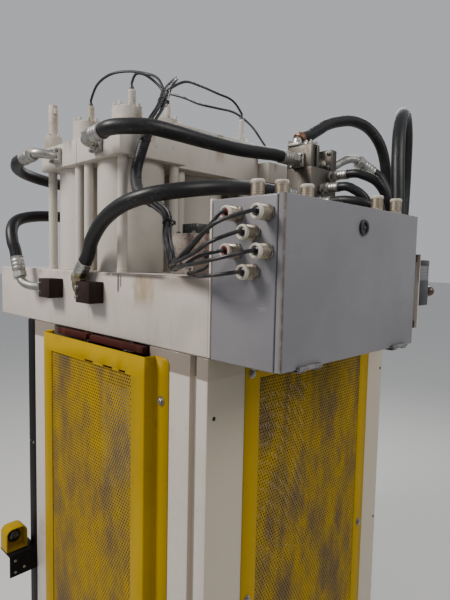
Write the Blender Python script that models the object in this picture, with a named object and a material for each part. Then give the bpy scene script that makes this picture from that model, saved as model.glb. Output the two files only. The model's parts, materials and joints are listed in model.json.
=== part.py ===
"""Hydraulic press: a five-cylinder crown on four columns, with guards, hoses and a control box.

Metres, +Z up. The origin is the middle of the bed's underside. The front of the press faces -Y,
the operator's open side faces -X, and the control box hangs on the crown's +X end.
"""
import math

import bmesh
import bpy
from mathutils import Matrix, Vector

# Clearances
GAP = 0.0003                  # between pieces that touch
RUNNING_GAP = 0.0006          # between pieces that slide or turn on each other
OVERRUN = 0.005               # how far a cut runs past a face

# Crown and frame
CROWN_LENGTH = 1.328
CROWN_HEIGHT = 0.203
CROWN_UNDERSIDE = 1.75
CROWN_EDGE_BEVEL = 0.004
ROD_HOLE_CLEARANCE = 0.002
FRAME_SETBACK = 0.034          # of the rear columns from the crown's rear face
FRONT_COLUMN_DEPTH = 0.20
REAR_COLUMN_DEPTH = 0.155
RIGHT_COLUMN_WIDTH = 0.243
LEFT_COLUMN_WIDTH = 0.165
LEFT_COLUMN_OUTSIDE = -0.333
GROOVE_FROM_EDGE = 0.042
GROOVE_WIDTH = 0.027
GROOVE_DEPTH = 0.018
COLUMN_WAY_WIDTH = 0.07
COLUMN_WAY_HEIGHT = 0.0147
COLUMN_WAY_FROM_EDGE = 0.03
COLUMN_WAY_MARGIN = 0.04      # beyond the platen's travel at both ends

# Bed and bolster
BASE_THICKNESS = 0.05
BED_LENGTH = 1.0
BED_TOP = 0.78
BOLSTER_LENGTH = 1.04
BOLSTER_THICKNESS = 0.08
BOLSTER_SIDE_GAP = 0.006       # from each way
T_SLOT_WIDTH = 0.022
T_SLOT_HEAD_WIDTH = 0.036
T_SLOT_HEAD_HEIGHT = 0.016
T_SLOT_DEPTH = 0.042
T_SLOT_PITCH = 0.16
ANCHOR_HOLE_RADIUS = 0.013
ANCHOR_HOLE_INSET = 0.05       # from the base's end
ANCHOR_HOLE_SIDE_INSET = 0.025 # from the base's side

# Platen and cylinders
PLATEN_LENGTH = 1.0
PLATEN_THICKNESS = 0.12
PLATEN_TOP_DROP = 0.07        # from the crown's underside to the raised platen's top
STROKE = 0.30
PLATEN_EAR_WIDTH = 0.33
PLATEN_EAR_MARGIN = 0.022      # past the corner rods' feet
CORNER_CAP_MARGIN = 0.021      # of the cap past its barrel, half the seam included
CORNER_CAP_THICKNESS = 0.081
CAP_SEAM = 0.002
CAP_ROW_GAP = 0.002           # between the main cap and the corner caps in front of and behind it
BARREL_HEIGHT = 0.3595
CORNER_BARREL_RADIUS = 0.111
CORNER_BARREL_WALL = 0.0094
CORNER_ROD_RADIUS = 0.030
CORNER_TIE_ROD_RADIUS = 0.017
CORNER_TIE_ROD_INSET = 0.030
MAIN_CAP_MARGIN = 0.061       # past its barrel
MAIN_CAP_THICKNESS = 0.152
MAIN_BARREL_RADIUS = 0.150
MAIN_BARREL_WALL = 0.018
MAIN_ROD_RADIUS = 0.065
MAIN_TIE_ROD_RADIUS = 0.0225
MAIN_TIE_ROD_INSET = 0.040
TIE_ROD_SIDES = 10
ROUND_SIDES = 20              # of the rods, pistons, bores and barrels alike
PISTON_THICKNESS = 0.048
PISTON_TOP_CLEARANCE = 0.004
PISTON_CLEARANCE = 0.0008
ROD_FLANGE_THICKNESS = 0.018
CORNER_ROD_FLANGE_RADIUS = 0.0325
MAIN_ROD_FLANGE_RADIUS = 0.095

# Control box on the crown's right end
BOX_DEPTH = 0.208             # along X, without the door
BOX_WIDTH = 0.652             # along Y
BOX_HEIGHT = 0.392
BOX_WALL = 0.003
BOX_LIP = 0.014
DOOR_THICKNESS = 0.018
DOOR_GAP = 0.003
DOOR_SHEET = 0.003

# Hoses and cables
HOSE_DIAMETER = 0.044
SMALL_HOSE_DIAMETER = 0.032
CABLE_DIAMETER = 0.009

# Places that follow from the sizes above
corner_cap_size = 2 * (CORNER_BARREL_RADIUS + CORNER_CAP_MARGIN)
main_cap_size = 2 * (MAIN_BARREL_RADIUS + MAIN_CAP_MARGIN)
crown_depth = main_cap_size + 2 * (corner_cap_size + CAP_ROW_GAP)
corner_bore_radius = CORNER_BARREL_RADIUS - CORNER_BARREL_WALL
main_bore_radius = MAIN_BARREL_RADIUS - MAIN_BARREL_WALL
crown_top = CROWN_UNDERSIDE + CROWN_HEIGHT
front_face = -crown_depth / 2
right_face = CROWN_LENGTH / 2
frame_back = -front_face - FRAME_SETBACK
front_column_back = front_face + FRONT_COLUMN_DEPTH
rear_column_front = frame_back - REAR_COLUMN_DEPTH
right_column_inside = right_face - RIGHT_COLUMN_WIDTH
left_column_inside = LEFT_COLUMN_OUTSIDE + LEFT_COLUMN_WIDTH
way_front = front_column_back + COLUMN_WAY_HEIGHT
way_rear = rear_column_front - COLUMN_WAY_HEIGHT
bolster_top = BED_TOP + BOLSTER_THICKNESS
platen_top = CROWN_UNDERSIDE - PLATEN_TOP_DROP
platen_underside = platen_top - PLATEN_THICKNESS
cap_underside = crown_top + BARREL_HEIGHT
corner_cap_top = cap_underside + CORNER_CAP_THICKNESS
main_cap_top = cap_underside + MAIN_CAP_THICKNESS
corner_offset_x = corner_cap_size / 2
corner_offset_y = crown_depth / 2 - corner_cap_size / 2
ear_reach = corner_offset_y + CORNER_ROD_FLANGE_RADIUS + PLATEN_EAR_MARGIN
box_bottom = CROWN_UNDERSIDE
box_top = box_bottom + BOX_HEIGHT
box_back = right_face + GAP
box_front = box_back + BOX_DEPTH
box_near = front_face
box_far = box_near + BOX_WIDTH

CYLINDERS = {
    "front_left": (-1, -1),
    "front_right": (1, -1),
    "rear_left": (-1, 1),
    "rear_right": (1, 1),
}

# Paints and metals: colour, roughness, metallic
FINISHES = {
    "cream_paint": ((0.52, 0.48, 0.43), 0.5, 0.0),
    "yellow_paint": ((0.62, 0.40, 0.02), 0.5, 0.0),
    "grey_paint": ((0.18, 0.18, 0.20), 0.45, 0.0),
    "black_paint": ((0.02, 0.018, 0.018), 0.5, 0.0),
    "maroon_paint": ((0.10, 0.03, 0.025), 0.6, 0.0),
    "bare_steel": ((0.45, 0.44, 0.43), 0.35, 1.0),
    "chrome_rod": ((0.75, 0.75, 0.76), 0.12, 1.0),
    "rusty_steel": ((0.16, 0.10, 0.07), 0.8, 0.4),
    "black_rubber": ((0.012, 0.012, 0.012), 0.55, 0.0),
    "black_plastic": ((0.02, 0.02, 0.02), 0.4, 0.0),
    "brown_knob": ((0.14, 0.06, 0.03), 0.35, 0.0),
}


def clear_scene():
    for found in list(bpy.data.objects):
        bpy.data.objects.remove(found, do_unlink=True)


def finish(name):
    """The Principled material of one paint or metal, made once."""
    found = bpy.data.materials.get(name)
    if found:
        return found
    colour, roughness, metallic = FINISHES[name]
    made = bpy.data.materials.new(name)
    made.use_nodes = True
    shader = made.node_tree.nodes["Principled BSDF"]
    shader.inputs["Base Color"].default_value = (*colour, 1.0)
    shader.inputs["Roughness"].default_value = roughness
    shader.inputs["Metallic"].default_value = metallic
    return made


def place(name, mesh, finish_name, location=(0, 0, 0), parent=None):
    made = bpy.data.objects.new(name, mesh)
    mesh.materials.clear()
    mesh.materials.append(finish(finish_name))
    made.location = location
    made.parent = parent
    bpy.context.scene.collection.objects.link(made)
    return made


def to_mesh(name, work):
    bmesh.ops.recalc_face_normals(work, faces=work.faces)
    mesh = bpy.data.meshes.new(name)
    work.to_mesh(mesh)
    work.free()
    return mesh


def smooth(mesh, angle=math.radians(35)):
    mesh.shade_smooth()
    mesh.set_sharp_from_angle(angle=angle)
    return mesh


def block_mesh(name, low, high):
    """A box between two corners."""
    work = bmesh.new()
    bmesh.ops.create_cube(work, size=1.0)
    size = [b - a for a, b in zip(low, high)]
    middle = [(a + b) / 2 for a, b in zip(low, high)]
    bmesh.ops.scale(work, vec=size, verts=work.verts)
    bmesh.ops.translate(work, vec=middle, verts=work.verts)
    return to_mesh(name, work)


def prism_mesh(name, outline, start, end, along="Z"):
    """An outline pushed from start to end along one axis. Points are in the other two axes' order."""
    order = {"X": lambda p, d: (d, p[0], p[1]), "Y": lambda p, d: (p[0], d, p[1]),
             "Z": lambda p, d: (p[0], p[1], d)}[along]
    work = bmesh.new()
    face = work.faces.new([work.verts.new(order(p, start)) for p in outline])
    pushed = bmesh.ops.extrude_face_region(work, geom=[face])["geom"]
    corners = [v for v in pushed if isinstance(v, bmesh.types.BMVert)]
    bmesh.ops.translate(work, vec=order((0, 0), end - start), verts=corners)
    return to_mesh(name, work)


def rod_mesh(name, profile, sides):
    """A turned piece on Z from (radius, height) pairs, open in the middle if no radius is zero."""
    work = bmesh.new()
    rings = []
    for radius, height in profile:
        if radius == 0:
            rings.append([work.verts.new((0, 0, height))])
        else:
            turns = [2 * math.pi * i / sides for i in range(sides)]
            rings.append([work.verts.new((radius * math.cos(a), radius * math.sin(a), height))
                          for a in turns])
    pairs = list(zip(rings, rings[1:]))
    if len(rings[0]) > 1:
        pairs.append((rings[-1], rings[0]))
    for lower, upper in pairs:
        for i in range(sides):
            j = (i + 1) % sides
            corners = [lower[i % len(lower)], lower[j % len(lower)], upper[j % len(upper)],
                       upper[i % len(upper)]]
            work.faces.new(list(dict.fromkeys(corners)))
    return smooth(to_mesh(name, work))


def disc_stack(name, steps, sides, start=0.0):
    """A solid turned piece on Z from (radius, height gained) steps."""
    profile = [(0, start)]
    level = start
    for radius, gained in steps:
        profile += [(radius, level), (radius, level + gained)]
        level += gained
    profile.append((0, level))
    return rod_mesh(name, profile, sides)


def smooth_route(points, spacing, before=None, after=None):
    """Evenly spaced points on a smooth curve through the chosen ones, headed by what is before and after."""
    chosen = [Vector(p) for p in points]
    first = before or 2 * chosen[0] - chosen[1]
    last = after or 2 * chosen[-1] - chosen[-2]
    ends = [first] + chosen + [last]
    fine = []
    steps = 24
    for o, a, b, c in zip(ends, ends[1:], ends[2:], ends[3:]):
        for i in range(steps):
            t = i / steps
            fine.append(0.5 * (2 * a + (b - o) * t + (2 * o - 5 * a + 4 * b - c) * t ** 2
                               + (3 * a - o - 3 * b + c) * t ** 3))
    fine.append(chosen[-1])
    lengths = [0.0]
    for a, b in zip(fine, fine[1:]):
        lengths.append(lengths[-1] + (b - a).length)
    count = max(2, round(lengths[-1] / spacing))
    spots = []
    at = 0
    for i in range(count + 1):
        wanted = lengths[-1] * i / count
        while at < len(lengths) - 2 and lengths[at + 1] < wanted:
            at += 1
        share = (wanted - lengths[at]) / (lengths[at + 1] - lengths[at])
        spots.append(fine[at].lerp(fine[at + 1], min(1.0, share)))
    return spots


def swept_mesh(name, path, stations, sides):
    """A round piece along a path, with its radius set at lengths from the start."""
    lengths = [0.0]
    for a, b in zip(path, path[1:]):
        lengths.append(lengths[-1] + (b - a).length)
    whole = lengths[-1]
    work = bmesh.new()
    rings = []
    side = None
    for distance, radius in stations:
        distance = min(distance, whole)
        at = max(i for i in range(len(path) - 1) if lengths[i] <= distance or i == 0)
        share = (distance - lengths[at]) / (lengths[at + 1] - lengths[at])
        centre = path[at].lerp(path[at + 1], share)
        before = path[max(at - 1, 0)]
        after = path[min(at + 2, len(path) - 1)]
        heading = (after - before).normalized()
        if at == 0:
            heading = (path[1] - path[0]).normalized()
        if at >= len(path) - 2:
            heading = (path[-1] - path[-2]).normalized()
        if side is None:
            side = heading.orthogonal()
        side = (side - heading * side.dot(heading)).normalized()
        other = heading.cross(side)
        turns = [2 * math.pi * i / sides for i in range(sides)]
        rings.append([work.verts.new(centre + radius * (math.cos(a) * side + math.sin(a) * other))
                      for a in turns])
    for lower, upper in zip(rings, rings[1:]):
        for i in range(sides):
            j = (i + 1) % sides
            work.faces.new((lower[i], lower[j], upper[j], upper[i]))
    work.faces.new(rings[0])
    work.faces.new(rings[-1])
    return smooth(to_mesh(name, work))


def boolean(target, tool_mesh, operation):
    """Cuts from the target, or joins to it, with a hidden tool."""
    tool = place(target.name + "_tool_" + tool_mesh.name, tool_mesh, "bare_steel")
    tool.parent = target.parent
    tool.hide_render = True
    tool.hide_set(True)
    tool.display_type = "WIRE"
    step = target.modifiers.new(tool_mesh.name, "BOOLEAN")
    step.operation = operation
    step.solver = "EXACT"
    step.object = tool
    return step


def cut(target, tool_mesh):
    return boolean(target, tool_mesh, "DIFFERENCE")


def join(target, tool_mesh):
    return boolean(target, tool_mesh, "UNION")


def moved(mesh, matrix):
    mesh.transform(matrix)
    return mesh


def turn_to(direction):
    """The matrix that turns +Z to a direction."""
    return Vector((0, 0, 1)).rotation_difference(Vector(direction)).to_matrix().to_4x4()


# Bed: a base plate on the floor with a welded block between the columns.
def make_bed():
    low = (-right_face, front_face, 0)
    high = (right_face, -front_face, BASE_THICKNESS)
    bed = place("bed", block_mesh("bed", low, high), "cream_paint")
    block_low = (-BED_LENGTH / 2, front_column_back + GAP, BASE_THICKNESS - OVERRUN)
    block_high = (BED_LENGTH / 2, rear_column_front - GAP, BED_TOP)
    join(bed, block_mesh("bed_block", block_low, block_high))
    for side_x in (-1, 1):
        for side_y in (-1, 1):
            tall = BASE_THICKNESS + 2 * OVERRUN
            hole = disc_stack("anchor_hole", [(ANCHOR_HOLE_RADIUS, tall)], 12, -OVERRUN)
            hole_x = side_x * (right_face - ANCHOR_HOLE_INSET)
            hole_y = side_y * (-front_face - ANCHOR_HOLE_SIDE_INSET)
            cut(bed, moved(hole, Matrix.Translation((hole_x, hole_y, 0))))


def t_slot_outline(low_y, high_y, bottom, top):
    """The bolster's end outline in Y and Z, with T-slots in its top."""
    middle = (low_y + high_y) / 2
    outline = [(low_y, bottom), (high_y, bottom), (high_y, top)]
    for number in (1, 0, -1):
        centre = middle + number * T_SLOT_PITCH
        floor = top - T_SLOT_DEPTH
        shoulder = floor + T_SLOT_HEAD_HEIGHT
        outline += [(centre + T_SLOT_WIDTH / 2, top), (centre + T_SLOT_WIDTH / 2, shoulder),
                    (centre + T_SLOT_HEAD_WIDTH / 2, shoulder), (centre + T_SLOT_HEAD_WIDTH / 2, floor),
                    (centre - T_SLOT_HEAD_WIDTH / 2, floor), (centre - T_SLOT_HEAD_WIDTH / 2, shoulder),
                    (centre - T_SLOT_WIDTH / 2, shoulder), (centre - T_SLOT_WIDTH / 2, top)]
    outline.append((low_y, top))
    return outline


def make_bolster():
    low_y = way_front + BOLSTER_SIDE_GAP
    high_y = way_rear - BOLSTER_SIDE_GAP
    outline = t_slot_outline(low_y, high_y, BED_TOP + GAP, bolster_top)
    mesh = prism_mesh("bolster_plate", outline, -BOLSTER_LENGTH / 2, BOLSTER_LENGTH / 2, "X")
    place("bolster_plate", mesh, "bare_steel")


# Columns: the right ones have a groove near the outer corner, and all four have a machined way.
def column_outline(outer_x, inner_x, outer_y, inner_y, grooved):
    toward_inside = math.copysign(1, inner_x - outer_x)
    inward = math.copysign(1, inner_y - outer_y)
    outline = [(outer_x, outer_y)]
    if grooved:
        near = outer_x + toward_inside * GROOVE_FROM_EDGE
        far = near + toward_inside * GROOVE_WIDTH
        floor = outer_y + inward * GROOVE_DEPTH
        outline += [(near, outer_y), (near, floor), (far, floor), (far, outer_y)]
    outline += [(inner_x, outer_y), (inner_x, inner_y), (outer_x, inner_y)]
    return outline


def make_columns():
    bottom = BASE_THICKNESS + GAP
    top = CROWN_UNDERSIDE - GAP
    way_bottom = platen_underside - STROKE - COLUMN_WAY_MARGIN
    way_top = platen_top + COLUMN_WAY_MARGIN
    sides = {"left": (LEFT_COLUMN_OUTSIDE, left_column_inside), "right": (right_face, right_column_inside)}
    rows = {"front": (front_face, front_column_back), "rear": (frame_back, rear_column_front)}
    for row, (outer_y, inner_y) in rows.items():
        for side, (outer_x, inner_x) in sides.items():
            name = "column_" + row + "_" + side
            outline = column_outline(outer_x, inner_x, outer_y, inner_y, side == "right")
            column = place(name, prism_mesh(name, outline, bottom, top), "cream_paint")
            toward_inside = math.copysign(1, inner_x - outer_x)
            inward = math.copysign(1, inner_y - outer_y)
            way_from = inner_x - toward_inside * COLUMN_WAY_FROM_EDGE
            xs = sorted((way_from, way_from - toward_inside * COLUMN_WAY_WIDTH))
            ys = sorted((inner_y - inward * OVERRUN, inner_y + inward * COLUMN_WAY_HEIGHT))
            join(column, block_mesh("way", (xs[0], ys[0], way_bottom), (xs[1], ys[1], way_top)))


# Crown: one block with a clear hole under each cylinder.
def make_crown():
    low = (-right_face, front_face, CROWN_UNDERSIDE)
    high = (right_face, -front_face, crown_top)
    crown = place("crown", block_mesh("crown", low, high), "cream_paint")
    edge = crown.modifiers.new("edge", "BEVEL")
    edge.width = CROWN_EDGE_BEVEL
    edge.segments = 1
    holes = [(side_x * corner_offset_x, side_y * corner_offset_y, CORNER_ROD_RADIUS)
             for side_x, side_y in CYLINDERS.values()]
    holes.append((0, 0, MAIN_ROD_RADIUS))
    for x, y, radius in holes:
        tall = CROWN_HEIGHT + 2 * OVERRUN
        steps = [(radius + ROD_HOLE_CLEARANCE, tall)]
        hole = disc_stack("rod_hole", steps, ROUND_SIDES, CROWN_UNDERSIDE - OVERRUN)
        cut(crown, moved(hole, Matrix.Translation((x, y, 0))))


# Platen: a plate between the columns, with an ear front and rear for the corner rods.
def make_platen(ram):
    low_y = way_front + RUNNING_GAP
    high_y = way_rear - RUNNING_GAP
    half = PLATEN_LENGTH / 2
    ear = PLATEN_EAR_WIDTH / 2
    outline = [(-half, low_y), (-ear, low_y), (-ear, -ear_reach), (ear, -ear_reach),
               (ear, low_y), (half, low_y), (half, high_y), (ear, high_y), (ear, ear_reach),
               (-ear, ear_reach), (-ear, high_y), (-half, high_y)]
    mesh = prism_mesh("platen", outline, platen_underside - ram.location.z, platen_top - ram.location.z)
    place("platen", mesh, "maroon_paint", parent=ram)


# Cylinders: a piston on its rod, a barrel, and a square cap held down by four tie rods.
def piston_rod_mesh(name, rod_radius, bore_radius, flange_radius, sides):
    piston_top = cap_underside - PISTON_TOP_CLEARANCE
    bottom = platen_top + GAP
    steps = [(flange_radius, ROD_FLANGE_THICKNESS),
             (rod_radius, piston_top - PISTON_THICKNESS - bottom - ROD_FLANGE_THICKNESS),
             (bore_radius - PISTON_CLEARANCE, PISTON_THICKNESS)]
    return disc_stack(name, steps, sides, bottom - platen_top)


def barrel_mesh(name, outer, inner, sides):
    bottom = crown_top + GAP
    top = cap_underside - GAP
    return rod_mesh(name, [(outer, bottom), (outer, top), (inner, top), (inner, bottom)], sides)


def make_cap(name, x, y, size, thickness, tie_radius, tie_inset):
    half = size / 2
    top = cap_underside + thickness
    cap = place(name, block_mesh(name, (x - half, y - half, cap_underside), (x + half, y + half, top)),
                "cream_paint")
    reach = half - tie_inset
    for side_x in (-1, 1):
        for side_y in (-1, 1):
            tall = BARREL_HEIGHT - GAP + OVERRUN
            tie = disc_stack("tie_rod", [(tie_radius, tall)], TIE_ROD_SIDES, crown_top + GAP)
            join(cap, moved(tie, Matrix.Translation((x + side_x * reach, y + side_y * reach, 0))))
    return cap


def make_cylinders(ram):
    caps = {}
    for label, (side_x, side_y) in CYLINDERS.items():
        x = side_x * corner_offset_x
        y = side_y * corner_offset_y
        rod = piston_rod_mesh("piston_rod_" + label, CORNER_ROD_RADIUS, corner_bore_radius,
                              CORNER_ROD_FLANGE_RADIUS, ROUND_SIDES)
        place("piston_rod_" + label, rod, "chrome_rod", (x, y, platen_top - ram.location.z), ram)
        barrel = barrel_mesh("barrel_" + label, CORNER_BARREL_RADIUS, corner_bore_radius, ROUND_SIDES)
        place("barrel_" + label, barrel, "cream_paint", (x, y, 0))
        caps[label] = make_cap("cap_" + label, x, y, corner_cap_size - CAP_SEAM, CORNER_CAP_THICKNESS,
                               CORNER_TIE_ROD_RADIUS, CORNER_TIE_ROD_INSET)
    rod = piston_rod_mesh("piston_rod_main", MAIN_ROD_RADIUS, main_bore_radius, MAIN_ROD_FLANGE_RADIUS,
                          ROUND_SIDES)
    place("piston_rod_main", rod, "chrome_rod", (0, 0, platen_top - ram.location.z), ram)
    place("barrel_main", barrel_mesh("barrel_main", MAIN_BARREL_RADIUS, main_bore_radius, ROUND_SIDES),
          "cream_paint")
    make_cap("cap_main", 0, 0, main_cap_size, MAIN_CAP_THICKNESS, MAIN_TIE_ROD_RADIUS, MAIN_TIE_ROD_INSET)
    stand_steps = [(STAND_BASE_RADIUS, STAND_BASE_HEIGHT + OVERRUN), (STAND_POST_RADIUS, STAND_POST_HEIGHT)]
    stand = disc_stack("stand", stand_steps, SENSOR_SIDES, corner_cap_top - OVERRUN)
    join(caps["front_left"], moved(stand, Matrix.Translation((stand_x, stand_y, 0))))
    return caps


# Position sensors: a bolted boss with a slim tube and a plug on top. The tube stands off the
# boss's middle.
SENSOR_BOSS_RADIUS = 0.052
SENSOR_BOSS_HEIGHT = 0.100
MAIN_SENSOR_BOSS_RADIUS = 0.0625
MAIN_SENSOR_BOSS_HEIGHT = 0.0815
SENSOR_TUBE_RADIUS = 0.0135
SENSOR_TUBE_HEIGHT = 0.062
SENSOR_PLUG_RADIUS = 0.009
SENSOR_PLUG_HEIGHT = 0.012
SENSOR_SIDES = 16
SENSOR_TUBE_OFFSET = 0.010
MAIN_SENSOR_X = -0.036
MAIN_SENSOR_Y = -0.062
VENT_SIDE_INSET = 0.036        # from the main cap's right side
VENT_REAR_INSET = 0.068        # from its rear
VENT_BASE_RADIUS = 0.026
VENT_BASE_HEIGHT = 0.0215
VENT_TUBE_RADIUS = 0.010
VENT_TUBE_HEIGHT = 0.070
STAND_SIDE_INSET = 0.0325      # from the front left cap's left side
STAND_FRONT_INSET = 0.0315     # from its front
STAND_BASE_RADIUS = 0.031
STAND_BASE_HEIGHT = 0.052
STAND_POST_RADIUS = 0.0168
STAND_POST_HEIGHT = 0.110
vent_x = main_cap_size / 2 - VENT_SIDE_INSET
vent_y = main_cap_size / 2 - VENT_REAR_INSET
corner_cap_half = (corner_cap_size - CAP_SEAM) / 2
stand_x = STAND_SIDE_INSET - corner_cap_half - corner_offset_x
stand_y = STAND_FRONT_INSET - corner_cap_half - corner_offset_y
SENSORS = {
    "sensor_front_left": (-corner_offset_x, -corner_offset_y, corner_cap_top, SENSOR_BOSS_RADIUS,
                          SENSOR_BOSS_HEIGHT),
    "sensor_front_right": (corner_offset_x, -corner_offset_y, corner_cap_top, SENSOR_BOSS_RADIUS,
                           SENSOR_BOSS_HEIGHT),
    "sensor_main": (MAIN_SENSOR_X, MAIN_SENSOR_Y, main_cap_top, MAIN_SENSOR_BOSS_RADIUS,
                    MAIN_SENSOR_BOSS_HEIGHT),
}
vent_tip = main_cap_top + GAP + VENT_BASE_HEIGHT + VENT_TUBE_HEIGHT + SENSOR_PLUG_HEIGHT


def make_sensor(name):
    x, y, cap_top, boss_radius, boss_height = SENSORS[name]
    boss = disc_stack(name, [(boss_radius, boss_height)], SENSOR_SIDES, GAP)
    spot = Vector((x - SENSOR_TUBE_OFFSET, y - SENSOR_TUBE_OFFSET, cap_top))
    sensor = place(name, moved(boss, Matrix.Translation(spot)), "cream_paint")
    tube_steps = [(SENSOR_TUBE_RADIUS, SENSOR_TUBE_HEIGHT + OVERRUN),
                  (SENSOR_PLUG_RADIUS, SENSOR_PLUG_HEIGHT)]
    tube_mesh = disc_stack("tube", tube_steps, 12, GAP + boss_height - OVERRUN)
    join(sensor, moved(tube_mesh, Matrix.Translation((x, y, cap_top))))


def sensor_tip(name):
    """The top of a sensor's plug, where its cable comes in."""
    x, y, cap_top, boss_radius, boss_height = SENSORS[name]
    return Vector((x, y, cap_top + GAP + boss_height + SENSOR_TUBE_HEIGHT + SENSOR_PLUG_HEIGHT))


def make_sensors():
    for name in SENSORS:
        make_sensor(name)
    vent_steps = [(VENT_BASE_RADIUS, VENT_BASE_HEIGHT), (VENT_TUBE_RADIUS, VENT_TUBE_HEIGHT),
                  (SENSOR_PLUG_RADIUS, SENSOR_PLUG_HEIGHT)]
    place("sensor_vent", disc_stack("sensor_vent", vent_steps, 12, GAP), "cream_paint",
          (vent_x, vent_y, main_cap_top))


# Guards: a hat-folded sheet front and rear, and a flat sheet on the right side.
GUARD_SHEET = 0.002
GUARD_LEFT = -0.169
GUARD_RIGHT = 0.452
GUARD_PROUD = 0.040
GUARD_FLANGE = 0.060
GUARD_TOP_DROP = 0.023         # below the crown
GUARD_BOTTOM = 0.12
GUARD_CORNER_RADIUS = 0.02
GUARD_SLOT_LENGTH = 0.052
GUARD_SLOT_HEIGHT = 0.006
GUARD_SLOT_DROP = 0.055
GUARD_SLOT_FIRST = 0.292       # from the panel's left edge
GUARD_SLOT_PITCH = 0.110
SIDE_GUARD_NEAR = 0.140       # behind the front face
guard_top = CROWN_UNDERSIDE - GUARD_TOP_DROP
SIDE_GUARD_FAR_INSET = 0.143   # before the crown's rear face


def rounded_flange_cutter(name, corner_x, corner_z, toward_x, face_y, outward):
    """The waste outside a rounded top corner of a guard's flange."""
    centre_x = corner_x + toward_x * GUARD_CORNER_RADIUS
    centre_z = corner_z - GUARD_CORNER_RADIUS
    arc = []
    for step in range(5):
        angle = math.radians(90 * step / 4)
        arc.append((centre_x - toward_x * GUARD_CORNER_RADIUS * math.sin(angle),
                    centre_z + GUARD_CORNER_RADIUS * math.cos(angle)))
    outside_x = corner_x - toward_x * OVERRUN
    above_z = corner_z + OVERRUN
    outline = arc + [(outside_x, centre_z), (outside_x, above_z), (centre_x, above_z)]
    return prism_mesh(name, outline, face_y - outward * OVERRUN, face_y + outward * OVERRUN, "Y")


def make_hat_guard(name, face_y, outward):
    """A folded sheet: flanges on the columns' faces and a panel that stands off them."""
    seat = face_y + outward * GAP
    flange = seat + outward * GUARD_SHEET
    inner = seat + outward * (GUARD_PROUD - GUARD_SHEET)
    panel = seat + outward * GUARD_PROUD
    left, right = GUARD_LEFT, GUARD_RIGHT
    outline = [(left - GUARD_FLANGE, seat), (left + GUARD_SHEET, seat), (left + GUARD_SHEET, inner),
               (right - GUARD_SHEET, inner), (right - GUARD_SHEET, seat), (right + GUARD_FLANGE, seat),
               (right + GUARD_FLANGE, flange), (right, flange), (right, panel), (left, panel), (left, flange),
               (left - GUARD_FLANGE, flange)]
    guard = place(name, prism_mesh(name, outline, GUARD_BOTTOM, guard_top), "yellow_paint")
    for corner_x, toward_x in ((left - GUARD_FLANGE, 1), (right + GUARD_FLANGE, -1)):
        cut(guard, rounded_flange_cutter("corner", corner_x, guard_top, toward_x, seat, outward))
    for number in range(3):
        start = left + GUARD_SLOT_FIRST + number * GUARD_SLOT_PITCH
        low = (start, min(inner, panel) - OVERRUN, guard_top - GUARD_SLOT_DROP - GUARD_SLOT_HEIGHT)
        high = (start + GUARD_SLOT_LENGTH, max(inner, panel) + OVERRUN, guard_top - GUARD_SLOT_DROP)
        cut(guard, block_mesh("slot" + str(number), low, high))
    return guard


def make_guards():
    make_hat_guard("guard_front", front_face, -1)
    make_hat_guard("guard_rear", frame_back, 1)
    low = (right_face + GAP, front_face + SIDE_GUARD_NEAR, GUARD_BOTTOM)
    high = (right_face + GAP + GUARD_SHEET, -front_face - SIDE_GUARD_FAR_INSET, CROWN_UNDERSIDE - GAP)
    place("guard_side", block_mesh("guard_side", low, high), "yellow_paint")


# Control box: a sheet shell open on +X, with cable glands, and a door hinged along its lower edge.
GLAND_RADIUS = 0.0175
GLAND_LENGTH = 0.045
GLAND_SIDES = 10
# Share of the box's depth from its back, and of its height or width from its bottom or near side
GLAND_SHARES = {
    "upper_left": (0.445, 0.898),
    "upper_right": (0.886, 0.895),
    "middle": (0.695, 0.786),
    "lower_left": (0.445, 0.681),
    "lower_right": (0.886, 0.681),
    "bottom": (0.704, 0.564),
}
TOP_GLAND_SHARES = {
    "near": (0.421, 0.110),
    "near_right": (0.603, 0.179),
    "middle": (0.651, 0.317),
    "far": (0.844, 0.759),
    "far_right": (0.892, 0.908),
}
TOP_GLAND_HEIGHT = 0.050
KNUCKLE_RADIUS = 0.006
KNUCKLE_BORE = 0.0036
PIN_RADIUS = 0.003
KNUCKLE_LENGTH = 0.030
HINGE_SIDES = 10
LEAF_DROP = 0.0033
LEAF_INSET = 0.001            # of a leaf's ends from its knuckle's
LEAF_LAP = 0.0024
HINGE_INSET = 0.10
LATCH_DROP = 0.054            # from the door's top to the latch's axis
LATCH_RADIUS = 0.0205
LATCH_PROUD = 0.007
LATCH_SHAFT_RADIUS = 0.009
LATCH_CAM_LENGTH = 0.044
LATCH_CAM_WIDTH = 0.014
LATCH_CAM_THICKNESS = 0.003
hinge_x = box_front + DOOR_GAP + DOOR_THICKNESS + KNUCKLE_RADIUS + RUNNING_GAP
hinge_z = box_bottom + KNUCKLE_RADIUS
latch_y = (box_near + box_far) / 2
latch_z = box_top - LATCH_DROP


def gland_place(name):
    """Where a side gland's axis meets the box's near face."""
    depth_share, height_share = GLAND_SHARES[name]
    return Vector((box_back + depth_share * BOX_DEPTH, box_near, box_bottom + height_share * BOX_HEIGHT))


def top_gland_place(name):
    depth_share, width_share = TOP_GLAND_SHARES[name]
    return Vector((box_back + depth_share * BOX_DEPTH, box_near + width_share * BOX_WIDTH, box_top))


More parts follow.
